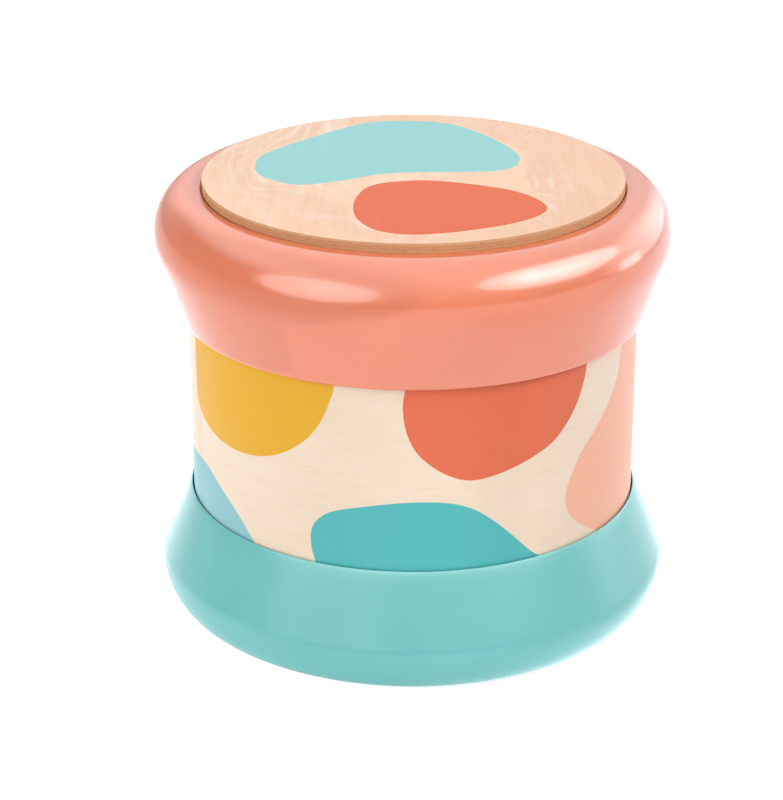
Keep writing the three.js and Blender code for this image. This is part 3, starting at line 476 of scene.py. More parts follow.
def tracked_board(name):
    finish = Finish(name, IOR=1.5, Coat_Weight=0.4, Coat_Roughness=0.15)
    cells = finish.node("ShaderNodeTexBrick", finish.stretched((260, 260, 260)), offset=0.5)
    finish.fill(cells, Scale=1, Mortar_Size=0.09)
    tone = finish.mix(cells.outputs["Fac"], (38, 98, 62), (62, 132, 84))
    finish.bump(cells.outputs["Fac"], 0.4, 0.00004)
    return finish.set(Base_Color=tone, Roughness=0.4)


steel = brushed("steel", (196, 198, 202), 0.26)
cell_case = brushed("cell_case", (126, 134, 140), 0.3)
foot_rubber = dull("foot_rubber", (190, 200, 198), (178, 189, 187), 1500, 0.00004, 0.85)
cone_paper = dull("cone_paper", (62, 58, 55), (48, 45, 43), 2200, 0.00006, 0.95)
lead_cover = dull("lead_cover", (184, 62, 52), (170, 50, 42), 500, 0.00002, 0.5)
board_green = tracked_board("circuit_board")
print("small finishes ready")

# %% [markdown]
# ## Round shapes
#
# Most of the drum is turned. A plain cylinder would have bare sharp ends, so each round
# piece is a closed profile of radius and height, turned about an upright axis: the same way
# a lathe would cut it. Curves in a profile are drawn as short steps.

# %% Turning helpers
ROUND = 192  # sides of the large round pieces
SMALL_ROUND = 40
CREASE = 32  # degrees, above which an edge stays sharp


def bend(start, pull, end, steps):
    """Points after start on a curve to end that leans towards pull."""
    points = []
    for i in range(1, steps + 1):
        t = i / steps
        points.append(tuple(
            (1 - t) ** 2 * a + 2 * t * (1 - t) * b + t * t * c for a, b, c in zip(start, pull, end)
        ))
    return points


def straight(start, end, steps):
    """Points after start on a line to end."""
    return [tuple(a + (b - a) * i / steps for a, b in zip(start, end)) for i in range(1, steps + 1)]


def around(count, radius, start=0, at=(0, 0)):
    """Evenly spaced places on a circle, the first at start degrees from +X."""
    angles = [math.radians(start + 360 * i / count) for i in range(count)]
    return [(at[0] + radius * math.cos(a), at[1] + radius * math.sin(a)) for a in angles]


def ring(shape, outline, z):
    """Points of the shape, along an outline at a height."""
    return [shape.verts.new((x * MM, y * MM, z * MM)) for x, y in outline]


def skin(shape, rings, paint=None):
    """Faces between rings of one count, from below. Paint gives a finish per step."""
    for k, (low, high) in enumerate(zip(rings, rings[1:])):
        for i in range(len(low)):
            j = (i + 1) % len(low)
            corners = dict.fromkeys((low[i], low[j], high[j], high[i]))
            if len(corners) > 2:
                shape.faces.new(list(corners)).material_index = paint[k] if paint else 0


def closed_skin(shape, rings):
    """The same, with a face over both ends."""
    skin(shape, rings)
    shape.faces.new(rings[0][::-1])
    shape.faces.new(rings[-1])


def turn(shape, profile, sides=ROUND, places=((0, 0),), paint=None):
    """Turns a closed profile, which runs up on its outside, at each of the places."""
    for at in places:
        rings = []
        for radius, height in profile:
            if radius:
                rings.append(ring(shape, around(sides, radius, at=at), height))
            else:
                rings.append(ring(shape, [at], height) * sides)
        skin(shape, rings + rings[:1], paint)


def turned(name, finish, profile, sides=ROUND, at=(0, 0)):
    """A turned piece with one finish."""
    shape = bmesh.new()
    turn(shape, profile, sides, [at])
    return make(name, shape, finish)


def rods(shape, places, radius, bottom, top, sides=SMALL_ROUND):
    turn(shape, [(0, bottom), (radius, bottom), (radius, top), (0, top)], sides, places)


def mesh_of(name, shape):
    """A mesh of the finished shape, with its faces turned outwards."""
    bmesh.ops.recalc_face_normals(shape, faces=shape.faces)
    mesh = bpy.data.meshes.new(name)
    shape.to_mesh(mesh)
    shape.free()
    return mesh


def smooth(mesh):
    mesh.shade_smooth()
    mesh.set_sharp_from_angle(angle=math.radians(CREASE))


def make(name, shape, *finishes):
    """Makes the finished shape an object, smooth but for its creases."""
    mesh = mesh_of(name, shape)
    for finish in finishes:
        mesh.materials.append(finish)
    smooth(mesh)
    thing = bpy.data.objects.new(name, mesh)
    scene.collection.objects.link(thing)
    print(f"{name}: {len(mesh.vertices)} points, {len(mesh.polygons)} faces")
    return thing


def settle(thing, body, slot, *stands_for):
    """The piece rides on a body and stands for CAD nodes. The slot is not used."""
    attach(thing, body)
    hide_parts(*stands_for)


print("turning helpers ready")

# %% [markdown]
# Some pieces are joined from simple shapes or have holes through them. A boolean does both.
# Its result is kept at once as plain mesh, so the pieces that follow can build on it.

# %% Joining and cutting
def combine(thing, tool_shape, operation="DIFFERENCE"):
    """Cuts with a second shape, or joins it, and keeps the result as plain mesh."""
    tool = bpy.data.objects.new("tool", mesh_of("tool", tool_shape))
    scene.collection.objects.link(tool)
    step = thing.modifiers.new("combine", "BOOLEAN")
    step.operation = operation
    step.solver = "MANIFOLD"
    step.object = tool
    scene_now = bpy.context.evaluated_depsgraph_get()
    result = bpy.data.meshes.new_from_object(thing.evaluated_get(scene_now), depsgraph=scene_now)
    thing.modifiers.clear()
    thing.data = result
    result.name = thing.name
    bpy.data.objects.remove(tool)
    smooth(result)
    print(f"{thing.name} after {operation.lower()}: {len(result.vertices)} points")


print("joining and cutting ready")

# %% [markdown]
# ## Coral rim
#
# The rim is one moulding: a thin lower lip over the wood, a straight taper that widens
# upwards, a soft corner, and a full round shoulder that rolls over into the recess of the
# plate. Only a finely stepped profile gives the long clean highlights of the real one. The
# inside has the same wall all along, a spigot for the shell, a ledge for the deck and the
# posts for the screws.

# %% Rim
RIM_LIP_Z = 90.7
CREST_Z = 127.6
RIM_WALL = 2.4
SOCKET = 66.1  # radius inside the lips
LEDGE_Z = 114.0
RIM_LOW_RADIUS = 67.82
RIM_RADIUS = 75.02
SHOULDER_WIDE = 11  # half axes of the shoulder's quarter ellipse
SHOULDER_HIGH = 13.1
SHOULDER = (RIM_RADIUS - SHOULDER_WIDE, CREST_Z - SHOULDER_HIGH)
rim_slope = 7.2 / 21.5
lip_top = (RIM_LOW_RADIUS + 0.9 * rim_slope, 91.6)
taper_top = (RIM_RADIUS - 4 * rim_slope, 108.2)
rim_skin = [(67.1, RIM_LIP_Z)]
rim_skin += bend(rim_skin[-1], (RIM_LOW_RADIUS, RIM_LIP_Z), lip_top, 8)
rim_skin += straight(lip_top, taper_top, 10)
rim_skin += bend(taper_top, (RIM_RADIUS, 112.2), (RIM_RADIUS, SHOULDER[1]), 14)
for i in range(1, 33):
    angle = math.radians(90 * i / 32)
    out, up = SHOULDER_WIDE * math.cos(angle), SHOULDER_HIGH * math.sin(angle)
    rim_skin.append((SHOULDER[0] + out, SHOULDER[1] + up))


def inset(points, distance):
    """A run of profile points moved inwards, square to the run."""
    moved = []
    for i, (radius, height) in enumerate(points):
        before, after = points[max(i - 1, 0)], points[min(i + 1, len(points) - 1)]
        along = (Vector(after) - Vector(before)).normalized()
        moved.append((radius - along.y * distance, height + along.x * distance))
    return moved


BORE = 60.93  # beside the plate
ledge = [(61.62, 118.5), (61.62, LEDGE_Z), (58.4, LEDGE_Z), (58.4, 112.0)]
spigot = [(60.4, 112.0), (60.4, 92.3), (60.7, 92.0), (62.1, 92.0), (62.4, 92.3), (62.4, 112.0)]
under = [p for p in inset(rim_skin, RIM_WALL) if p[0] > SOCKET and p[1] < CREST_Z - RIM_WALL]
rim_profile = rim_skin + [(63.0, CREST_Z)] + bend((61.9, CREST_Z), (BORE, CREST_Z), (BORE, 126.8), 8)
rim_profile += [(BORE, 126.2), (61.25, 125.9), (61.25, 119.0)] + ledge + spigot
rim_profile += [(63.62, 112.0), (63.62, CREST_Z - RIM_WALL)] + under[::-1]
rim_profile += [(SOCKET, RIM_LIP_Z + RIM_WALL), (SOCKET, RIM_LIP_Z + 0.15), (SOCKET + 0.15, RIM_LIP_Z)]
rim = turned("rim", coral, rim_profile)
print(f"rim profile: {len(rim_profile)} points")

# %% Rim posts
POST_RADIUS = 4.2
THREAD_HOLE = 1.8
POST_CIRCLE = 57
posts = around(3, POST_CIRCLE, 90)
shape = bmesh.new()
rods(shape, posts, POST_RADIUS, 92.0, LEDGE_Z - 0.01)
combine(rim, shape, "UNION")
shape = bmesh.new()
rods(shape, posts, THREAD_HOLE, 91.0, 102.3, 24)
rods(shape, posts, THREAD_HOLE, 105.7, 115.0, 24)
combine(rim, shape)
settle(rim, "drum_body", "coral_plastic", "top_rim")
on_rim.objects.link(rim)

# %% [markdown]
# ## Turquoise base
#
# The base flares out from a fine lip at the wood to its widest just above the table, and
# tucks in again below. The tuck is fuller than a straight chamfer and leaner than a quarter
# circle, so its points come from a superellipse.

# %% Base
BASE_LIP_Z = 35.8
WIDEST_Z = 12.5
WIDEST = 75.4
BASE_LIP_RADIUS = 66.6
BASE_WALL = 2.4
TUCK_WIDE = 7.3
TUCK_HIGH = 11.5
TUCK_POWER = 1.75  # 1 would be a chamfer, 2 an ellipse
base_slope = 8.8 / (BASE_LIP_Z - 14.1)
base_skin = []
for i in range(29):
    angle = math.radians(90 * (1 - i / 28))
    out, down = (abs(v) ** (2 / TUCK_POWER) for v in (math.cos(angle), math.sin(angle)))
    base_skin.append((WIDEST - TUCK_WIDE * (1 - out), WIDEST_Z - TUCK_HIGH * down))
flare_start = (WIDEST - 1.6 * base_slope, 15.7)
flare_end = (BASE_LIP_RADIUS + 4.5 * base_slope, BASE_LIP_Z - 4.5)
lip_corner = (BASE_LIP_RADIUS + 0.8 * base_slope, BASE_LIP_Z - 0.8)
base_skin += bend((WIDEST, WIDEST_Z), (WIDEST, 14.1), flare_start, 12)
base_skin += straight(flare_start, flare_end, 12)
base_skin += bend(flare_end, lip_corner, (66.5, BASE_LIP_Z - 0.2), 12)
base_skin += [(66.4, BASE_LIP_Z - 0.06)]
base_inside = [p for p in inset(base_skin, BASE_WALL) if 7.0 < p[1] < 25.8]
base_profile = base_skin + [(66.25, BASE_LIP_Z), (SOCKET, 35.65), (SOCKET, 27.8), (62.4, 27.8)]
base_profile += [(62.4, 34.2), (62.1, 34.5), (60.7, 34.5), (60.4, 34.2), (60.4, 25.8)]
base_profile += [(base_inside[-1][0], 25.8)] + base_inside[::-1] + [(base_inside[0][0], 7.0)]
base_profile += [(62.5, 7.0), (62.5, 5.0), (66.0, 5.0), (66.0, 1.15), (66.15, 1.0)]
base = turned("base", turquoise, base_profile)
LID_SCREW_CIRCLE = 60.2
lid_screws = around(3, LID_SCREW_CIRCLE, 270)
shape = bmesh.new()
rods(shape, posts, POST_RADIUS, 9.7, 34.49)
rods(shape, lid_screws, 3.6, 5.01, 14.0)
combine(base, shape, "UNION")
shape = bmesh.new()
rods(shape, posts, 3.2, 8.0, 19.8)
rods(shape, posts, THREAD_HOLE, 18.8, 36.0, 24)
rods(shape, lid_screws, 1.4, 4.0, 13.0, 24)
combine(base, shape)
settle(base, "drum_body", "turquoise_plastic", "base_shell")
on_base.objects.link(base)

# %% [markdown]
# ## Colour patches
#
# The patches are printed straight on the veneer, flush and with a crisp edge. A texture
# could draw them, but cutting them into the mesh keeps the edge sharp at any distance, and
# each ink gets a finish of its own. A rounded outline is a closed smooth curve through a few
# points. A constrained triangulation then fits the faces to all the outlines at once.

# %% Outline helpers
def smooth_loop(points, steps=8):
    """A closed smooth curve through the points."""
    loop = []
    count = len(points)
    for i in range(count):
        a, b, c, d = (Vector(points[(i + k) % count]) for k in (-1, 0, 1, 2))
        for s in range(steps):
            t = s / steps
            loop.append(tuple(0.5 * (
                2 * b + (c - a) * t + (2 * a - 5 * b + 4 * c - d) * t * t + (3 * b - a - 3 * c + d) * t ** 3
            )))
    return loop


def left_handed(loop):
    """The loop, turned round if it runs clockwise."""
    twice_area = sum(a[0] * b[1] - b[0] * a[1] for a, b in zip(loop, loop[1:] + loop[:1]))
    return loop if twice_area > 0 else loop[::-1]


def triangles_in(loops, lines=()):
    """Points and triangles that fill the loops, each triangle with the loops it lies in."""
    points, faces, edges = [], [], []
    for loop in map(left_handed, loops):
        faces.append(list(range(len(points), len(points) + len(loop))))
        points += [Vector(p) for p in loop]
    for a, b in lines:
        edges.append((len(points), len(points) + 1))
        points += [Vector(a), Vector(b)]
    found = delaunay_2d_cdt(points, edges, faces, 0, 1e-5)
    return found[0], [(tri, set(inside)) for tri, inside in zip(found[2], found[5]) if inside]


print("outline helpers ready")

# %% [markdown]
# ## Tap plate
#
# The board's edge is a stack of bands, one for each ply and glue line, with barely broken
# arrises. Its two faces are flat caps, and the upper one has the patches cut into it.

# %% Tap plate
PLATE_Z = 127.2
PLATE_TOP = 130.2
PLATE_RADIUS = 60.82
plate_patches = [
    [
        (-46, 8), (-44.5, 17.8), (-38.2, 26.8), (-31.1, 35.1), (-22.3, 44.6), (-13.3, 51.6),
        (-1.1, 53.3), (11.2, 50.2), (20.1, 40.7), (27.3, 28.3), (31, 17.3), (29.5, 7.6), (23.5, 2.7),
        (10.6, 1.7), (-1, 1.1), (-11, -1.3), (-20.9, -7), (-32.1, -10.8), (-39.4, -7.2), (-44.6, -0.6)
    ],
    [
        (-16.6, -31.3), (-15.7, -20.7), (-12.2, -11.6), (-5.2, -7.4), (4.8, -6.4), (16.1, -9.5),
        (27.2, -14.9), (34, -22.1), (36.9, -30), (34.7, -37), (27.6, -43.8), (18, -48.9), (7.2, -52.7),
        (-2.2, -53.6), (-10.2, -49.9), (-15, -41.6)
    ],
]
plate_profile = [(PLATE_RADIUS - inwards, z) for inwards, z in (
    (0.12, PLATE_Z), (0, PLATE_Z + 0.12), (0, 128.1), (0, 128.2), (0, 129.2), (0, 129.3), (0, 129.85),
    (0.12, 130.08), (0.4, PLATE_TOP),
)]
FACE_PLY, GLUE, CORE_PLY = 3, 4, 5  # after the veneer, 0, and its two inks
plate_paint = [FACE_PLY, FACE_PLY, GLUE, CORE_PLY, GLUE, FACE_PLY, FACE_PLY, 0]
shape = bmesh.new()
rings = [ring(shape, around(ROUND, r), z) for r, z in plate_profile]
skin(shape, rings, plate_paint)


def cap(shape, rim_points, z, patches, upwards):
    """A flat cap over a ring of points, with patches cut into it."""
    known = {(round(v.co.x / MM, 4), round(v.co.y / MM, 4)): v for v in rim_points}
    edge = [(v.co.x / MM, v.co.y / MM) for v in rim_points]
    points, tris = triangles_in([edge] + [smooth_loop(p) for p in patches])
    verts = []
    for p in points:
        key = (round(p.x, 4), round(p.y, 4))
        verts.append(known.get(key) or shape.verts.new((p.x * MM, p.y * MM, z * MM)))
    for tri, inside in tris:
        corners = [verts[i] for i in (tri if upwards else tri[::-1])]
        if len(set(corners)) == 3:
            shape.faces.new(corners).material_index = max(inside)


cap(shape, rings[-1], PLATE_TOP, plate_patches, True)
cap(shape, rings[0], PLATE_Z, [], False)
plate_finishes = (plate_wood, plate_teal, plate_coral, ply_face, ply_glue, ply_core)
plate = make("tap_plate_board", shape, *plate_finishes)
settle(plate, "tap_plate", "plywood", "drum_plate")

# %% [markdown]
# ## Plywood shell
#
# The shell is a tube of bent ply. Its outside is triangulated flat, as an unrolled sheet of
# angle and height, with the patches' outlines cut in, and is then rolled up. Upright lines
# keep the sheet round, and the shading is told the exact direction of a cylinder's surface,
# so that the long thin faces don't show.

# %% Shell
SHELL_LOW = 28.1
SHELL_HIGH = 98.7
BORE_RADIUS = 62.7
HANG = 94.0  # how high a patch runs up behind the rim
SUNK = 33.0  # how low it runs down into the base
shell_patches = {
    "yellow": [
        (-71.5, 76.1), (-70.2, 68.8), (-64.9, 65), (-57.2, 62.7), (-47.5, 62.3), (-39.2, 63.9),
        (-32.4, 67.3), (-26.6, 72.4), (-22.5, 78.6), (-19.9, 85.6), (-18.8, 90.5), (-19.5, HANG),
        (-44, HANG + 1), (-68, HANG), (-71.5, 85)
    ],
    "red": [
        (-1.8, 90), (-2.3, 84.4), (-1.5, 77.9), (0.8, 72), (4.6, 67.5), (9.2, 64.2), (13.8, 62.6),
        (18.6, 62.9), (24.4, 64.4), (30.9, 66.8), (36.8, 69.9), (42.2, 75.8), (45.5, 82.2),
        (47.1, 88.9), (46, HANG), (22, HANG + 1), (-1, HANG)
    ],
    "teal": [
        (-23, SUNK), (-24.1, 35.3), (-25.4, 40.6), (-25.1, 46), (-22.3, 50.3), (-17.6, 53), (-9, 55.4),
        (-0.6, 56.7), (7.8, 56.4), (14, 54.3), (19, 50.5), (24.4, 44.8), (30.1, 38.1), (33.1, 35.3),
        (34, SUNK), (5, SUNK - 1)
    ],
    "peach": [
        (64, 87.9), (62, 80.5), (57.9, 74.5), (52.5, 69), (46.6, 63.6), (42.8, 57.3), (40.9, 51.8),
        (41.4, 47.5), (44.4, 42.7), (49.7, 38.1), (53.2, 36.2), (58, SUNK), (80, SUNK - 1),
        (102, SUNK), (112, 42), (117, 55), (115, 70), (108, 82), (101, 90), (98, HANG), (81, HANG + 1),
        (66, HANG)
    ],
    "blue": [
        (-80.7, 50.1), (-65.9, 51.2), (-57, 47.5), (-50.2, 43.1), (-45.6, 38.7), (-43.1, 35.6),
        (-43, SUNK), (-80, SUNK - 1), (-121, SUNK), (-121, 37), (-117, 43), (-108, 47.5), (-96, 49.2)
    ],
    "red_back": [
        (-160, 89), (-158, 80), (-152, 72.5), (-143, 67.5), (-131, 65.5), (-119, 68), (-109, 73.5),
        (-102.5, 81), (-100.5, 89), (-102, HANG), (-131, HANG + 1), (-159, HANG)
    ],
    "yellow_back": [
        (127, SUNK), (125.5, 37), (127, 44), (132, 50), (141, 54), (152, 54.5), (162, 51), (169.5, 45),
        (173, 38), (172, SUNK), (150, SUNK - 1)
    ],
    "teal_back": [
        (176, 89), (174, 81), (168, 74.5), (159, 70.5), (149, 70), (139, 73), (131, 78.5), (127, 85),
        (125.5, 90), (126, HANG), (150, HANG + 1), (175, HANG)
    ],
}
ink_slots = [0] + [1 + list(shell_inks).index(k.replace("_back", "")) for k in shell_patches]
glue_slot = 1 + len(shell_inks)
JOINT_WIDE = 0.26  # degrees
columns = [-180, -180 + JOINT_WIDE] + [-178.5 + 1.5 * i for i in range(239)] + [180]
sheet = [(a, SHELL_LOW) for a in columns] + [(a, SHELL_HIGH) for a in reversed(columns)]
upright = [((a, SHELL_LOW), (a, SHELL_HIGH)) for a in columns[1:-1]]
points, tris = triangles_in([sheet] + [smooth_loop(p) for p in shell_patches.values()], upright)


def rolled(azimuth, radius, z):
    spot = towards(azimuth, 0) * radius * MM
    return (spot.x, spot.y, z * MM)


tube = bmesh.new()
outer = [tube.verts.new(rolled(p.x, SHELL_RADIUS, p.y)) for p in points]
for tri, inside in tris:
    face = tube.faces.new([outer[i] for i in tri])
    in_joint = sum(points[i].x for i in tri) / 3 < -180 + JOINT_WIDE
    face.material_index = glue_slot if in_joint else ink_slots[max(inside)]
sheet_edge = {}
for v, p in zip(outer, points):
    for level in (SHELL_LOW, SHELL_HIGH):
        if abs(p.y - level) < 1e-4:
            sheet_edge[(round(p.x, 3), level)] = v
inner = {
    (round(a, 3), level): tube.verts.new(rolled(a, BORE_RADIUS, level))
    for a in columns for level in (SHELL_LOW, SHELL_HIGH)
}
for a, b in zip(columns, columns[1:]):
    a, b = round(a, 3), round(b, 3)
    corners = ((a, SHELL_LOW), (b, SHELL_LOW), (b, SHELL_HIGH), (a, SHELL_HIGH))
    back = [inner[c] for c in corners]
    front = [sheet_edge[c] for c in corners]
    tube.faces.new(back[::-1])
    tube.faces.new((back[0], back[1], front[1], front[0]))
    tube.faces.new((back[2], back[3], front[3], front[2]))
bmesh.ops.remove_doubles(tube, verts=tube.verts, dist=1e-7)
shell = make("bent_ply_shell", tube, shell_wood, *shell_inks.values(), ply_glue)
mesh = shell.data
directions = []
for face in mesh.polygons:
    corners = [mesh.vertices[v].co for v in face.vertices]
    outside = all(co.xy.length > (SHELL_RADIUS - 0.2) * MM for co in corners)
    for co in corners:
        away = Vector((co.x, co.y, 0)).normalized() * (1 if outside else -1)
        directions.append(face.normal.copy() if abs(face.normal.z) > 0.5 else away)
mesh.normals_split_custom_set(directions)
settle(shell, "drum_body", "plywood", "drum_shell")

# %% [markdown]
# ## Underside
#
# Flat moulded pieces are stacks of outlines: each outline lies at a height, and the ones next
# to an edge are drawn in a little, which breaks the edge as a mould does. Holes are cut with
# turned cutters that widen at the mouth, so that every hole has its small chamfer too.

# %% Flat pieces and cutters
def rounded(length, width, corner, at=(0, 0), steps=8):
    """The outline of a rectangle with round corners."""
    points = []
    for quarter, (right, back) in enumerate(((1, 1), (-1, 1), (-1, -1), (1, -1))):
        centre = (at[0] + right * (length / 2 - corner), at[1] + back * (width / 2 - corner))
        for i in range(steps + 1):
            angle = math.radians(90 * (quarter + i / steps))
            points.append((centre[0] + corner * math.cos(angle), centre[1] + corner * math.sin(angle)))
    return points


def stack(shape, *levels):
    """A closed piece through outlines of one count, each with its height, from below."""
    closed_skin(shape, [ring(shape, outline, z) for outline, z in levels])


def block(shape, length, width, corner, at, *levels, steps=8):
    """A block with round corners. A level says how far the outline grows, and its height."""
    stack(shape, *(
        (rounded(length + 2 * grow, width + 2 * grow, corner + grow, at, steps), z) for grow, z in levels
    ))


def chamfered_holes(shape, places, radius, mouth, top, sides=28):
    """Cutters for holes that open downwards, with a small chamfer at the mouth."""
    flared = [(0, mouth - 0.3), (radius + 0.55, mouth - 0.3), (radius, mouth + 0.25)]
    turn(shape, flared + [(radius, top), (0, top)], sides, places)


def sunk_holes(shape, places, floor_z, top):
    """Cutters for screw holes, each with a sunk seat for the head."""
    seat = [(0, 1.9), (3.4, 1.9), (2.9, 2.4), (2.9, floor_z), (1.4, floor_z)]
    turn(shape, seat + [(1.4, top), (0, top)], SMALL_ROUND, places)


PLATE_LOW = 2.2
SPEAKER = (0, -29)
DOOR = (0, 13)
DOOR_LONG = 64.9
DOOR_WIDE = 25.0
DOOR_SCREWS = [(-28.95, 13), (28.95, 13)]
FOOT_CIRCLE = 52
FEET = around(4, FOOT_CIRCLE, 45)
SWITCH = (42, 6)
print(f"door {DOOR_LONG} x {DOOR_WIDE} mm, feet on a circle of {FOOT_CIRCLE} mm")

# %% [markdown]
# The plate that closes the base carries everything below the wood: the loudspeaker behind a
# grille of round holes, the bay of the two cells, and the switch. Its edge sits inside the
# base, so from the side only the feet show.

# %% Bottom plate
disc = [(0, PLATE_LOW), (65.4, PLATE_LOW), (65.7, 2.5), (65.7, 4.5), (65.5, 4.7), (0, 4.7)]
bottom = turned("bottom_plate_with_grille", turquoise, disc)
raised = bmesh.new()
collar = [(22.8, 4.6), (24.4, 4.6), (24.4, 6.1), (24.2, 6.3), (23.0, 6.3), (22.8, 6.1)]
turn(raised, collar, 96, [SPEAKER])
combine(bottom, raised, "UNION")
for length, width, corner, low_z, high_z in ((68.1, 28.2, 3, 3.0, 6.1), (54.1, 25.8, 0.6, 5.0, 16.9)):
    raised = bmesh.new()
    block(raised, length, width, corner, DOOR, (0, low_z), (0, high_z))
    combine(bottom, raised, "UNION")
raised = bmesh.new()
rods(raised, DOOR_SCREWS, 2.6, 5.0, 12.1)
for side in (-1, 1):
    rods(raised, [(side * 25.4, SPEAKER[1])], 2.6, 4.0, 6.3)
    rods(raised, [(side * 19.5, DOOR[1])], 2.6, 16.0, 18.6)
    block(raised, 1.6, 7, 0.2, (SWITCH[0] + side * 5.1, SWITCH[1]), (0, 4.6), (0, 9.7), steps=2)
combine(bottom, raised, "UNION")
cutter = bmesh.new()
recess_levels = [(0.55, PLATE_LOW - 0.3), (0, PLATE_LOW + 0.25), (0, 4.5)]
block(cutter, DOOR_LONG + 0.6, DOOR_WIDE + 0.6, 3, DOOR, *recess_levels)
combine(bottom, cutter)
cutter = bmesh.new()
block(cutter, 50.9, 22.6, 0.5, DOOR, (0, 4.0), (0, 15.3))
for count, circle in ((1, 0), (6, 5.4), (12, 10.8)):
    chamfered_holes(cutter, around(count, circle, at=SPEAKER), 1.6, PLATE_LOW, 5.2)
sunk_holes(cutter, lid_screws, 3.8, 5.2)
chamfered_holes(cutter, FEET, 6.3, PLATE_LOW, 3.0, 56)
rods(cutter, DOOR_SCREWS, 1.4, 4.0, 10.5, 24)
block(cutter, 3.4, 8.2, 0.5, SWITCH, (0.5, PLATE_LOW - 0.3), (0, PLATE_LOW + 0.2), (0, 5.2))
combine(bottom, cutter)
settle(bottom, "drum_body", "turquoise_plastic", "bottom_plate")

# %% [markdown]
# The battery door is a plain flush panel with broken edges and a recess for each screw head.
# It is screwed shut, because cells in a toy must be out of a child's reach.

# %% Battery door
door_levels = [(-0.4, 2.2), (-0.15, 2.28), (0, 2.55), (0, 4.0), (-0.2, 4.2)]
shape = bmesh.new()
block(shape, DOOR_LONG, DOOR_WIDE, 2.7, DOOR, *door_levels)
door = make("door_panel", shape, turquoise)
cutter = bmesh.new()
sunk_holes(cutter, DOOR_SCREWS, 3.3, 4.5)
combine(door, cutter)
settle(door, "battery_door", "turquoise_plastic", "battery_door")

# %% [markdown]
# The screws are cross-headed. Each is turned with a rounded head and a ridged shank, and the
# cross is cut with two narrow wedges. The real thread is a helix, but level ridges look the
# same in the hole.

# %% Screws of the underside
def cross_screw(name, at, face, head_low, tip, body):
    """A screw whose head faces down at height face, and ends at its tip."""
    profile = [(0, face), (1.9, face), (2.4, face + 0.12), (2.6, face + 0.4)]
    profile += [(2.6, head_low), (1.1, head_low)]
    z = head_low + 0.4
    while z < tip - 1.4:
        profile += [(1.1, z), (0.86, z + 0.3), (0.86, z + 0.4)]
        z += 0.7
    profile += [(1.1, tip - 0.9), (0.3, tip), (0, tip)]
    screw = turned(name, steel, profile, 32, at)
    deep = face + min(0.9, 0.75 * (head_low - face))
    for wide, long in ((0.62, 2.9), (2.9, 0.62)):
        mouth = rounded(wide, long, 0.12, at, 3)
        floor_of_cut = rounded(wide * 0.7, long * 0.55, 0.08, at, 3)
        arm = bmesh.new()
        stack(arm, (mouth, face - 0.1), (floor_of_cut, deep))
        combine(screw, arm)
    settle(screw, body, "steel", name.replace("cross_", ""))


for i, at in enumerate(lid_screws, 1):
    cross_screw(f"cross_bottom_screw_{i}", at, 2.2, 3.5, 12.7, "drum_body")
for i, at in enumerate(DOOR_SCREWS, 1):
    cross_screw(f"cross_door_screw_{i}", at, 2.2, 3.0, 10.2, f"door_screw_{i}")

# %% [markdown]
# The feet are rubber buttons with a shallow dish, so that each stands on a ring.

# %% Rubber feet
FOOT_PROFILE = [(0, 0.3), (3.0, 0.3), (3.5, 0.06), (3.8, 0), (5.1, 0), (5.6, 0.1), (5.88, 0.32), (6, 0.65)]
FOOT_PROFILE += [(6, 2.6), (5.9, 2.7), (0, 2.7)]
for i, at in enumerate(FEET, 1):
    foot = turned(f"rubber_button_{i}", foot_rubber, FOOT_PROFILE, 64, at)
    settle(foot, "drum_body", "foot_rubber", f"rubber_foot_{i}")

# %% [markdown]
# The switch's knob is a small white tongue through a slot. A finger needs a hold on it, so
# its face has three grooves.

# %% Switch knob
KNOB = (42, 4)
shape = bmesh.new()
block(shape, 2.8, 3.6, 0.5, KNOB, (-0.3, 1.6), (-0.08, 1.7), (0, 1.95), (0, 7.0))
knob = make("knob_tongue", shape, white_plastic)
flange = bmesh.new()
block(flange, 4.4, 5.2, 0.4, KNOB, (0, 5.0), (0, 6.0))
combine(knob, flange, "UNION")
grooves = bmesh.new()
for step in (-1, 0, 1):
    at = (KNOB[0], KNOB[1] + 0.95 * step)
    stack(grooves, (rounded(4, 0.6, 0.1, at, 2), 1.5), (rounded(4, 0.2, 0.08, at, 2), 1.95))
combine(knob, grooves)
settle(knob, "switch_knob", "white_plastic", "switch_knob")

# %% [markdown]
# The cells lie head to tail. Each is a sleeved can with a bare steel end at both sides, a
# rolled edge and a nub. They are turned upright and laid down. Their sleeves stay plain.

# %% Cells
CELL = [(0, 0), (3.9, 0), (4.2, 0.25), (4.5, 0.25), (5.0, 0.4), (5.2, 0.75), (5.25, 1.2), (5.25, 42.4)]
CELL += [(5.2, 42.9), (4.9, 43.15), (4.4, 43.2), (4.2, 43.0), (2.3, 43.0), (1.9, 43.4), (1.9, 44.3)]
CELL += [(1.7, 44.5), (0, 44.5)]
CELL_PAINT = [1] * 5 + [0] * 4 + [1] * 8
for i, (start, heading, row) in enumerate(((-20.15, 1, 7.25), (20.15, -1, 18.75)), 1):
    can = bmesh.new()
    turn(can, CELL, 64, paint=CELL_PAINT)
    for v in can.verts:
        across, deep, along = v.co
        v.co = (start * MM + heading * along, row * MM + across, 9.75 * MM + heading * deep)
    cell = make(f"sleeved_cell_{i}", can, cell_case, steel)
    settle(cell, "drum_body", "cell_case", f"battery_{i}")
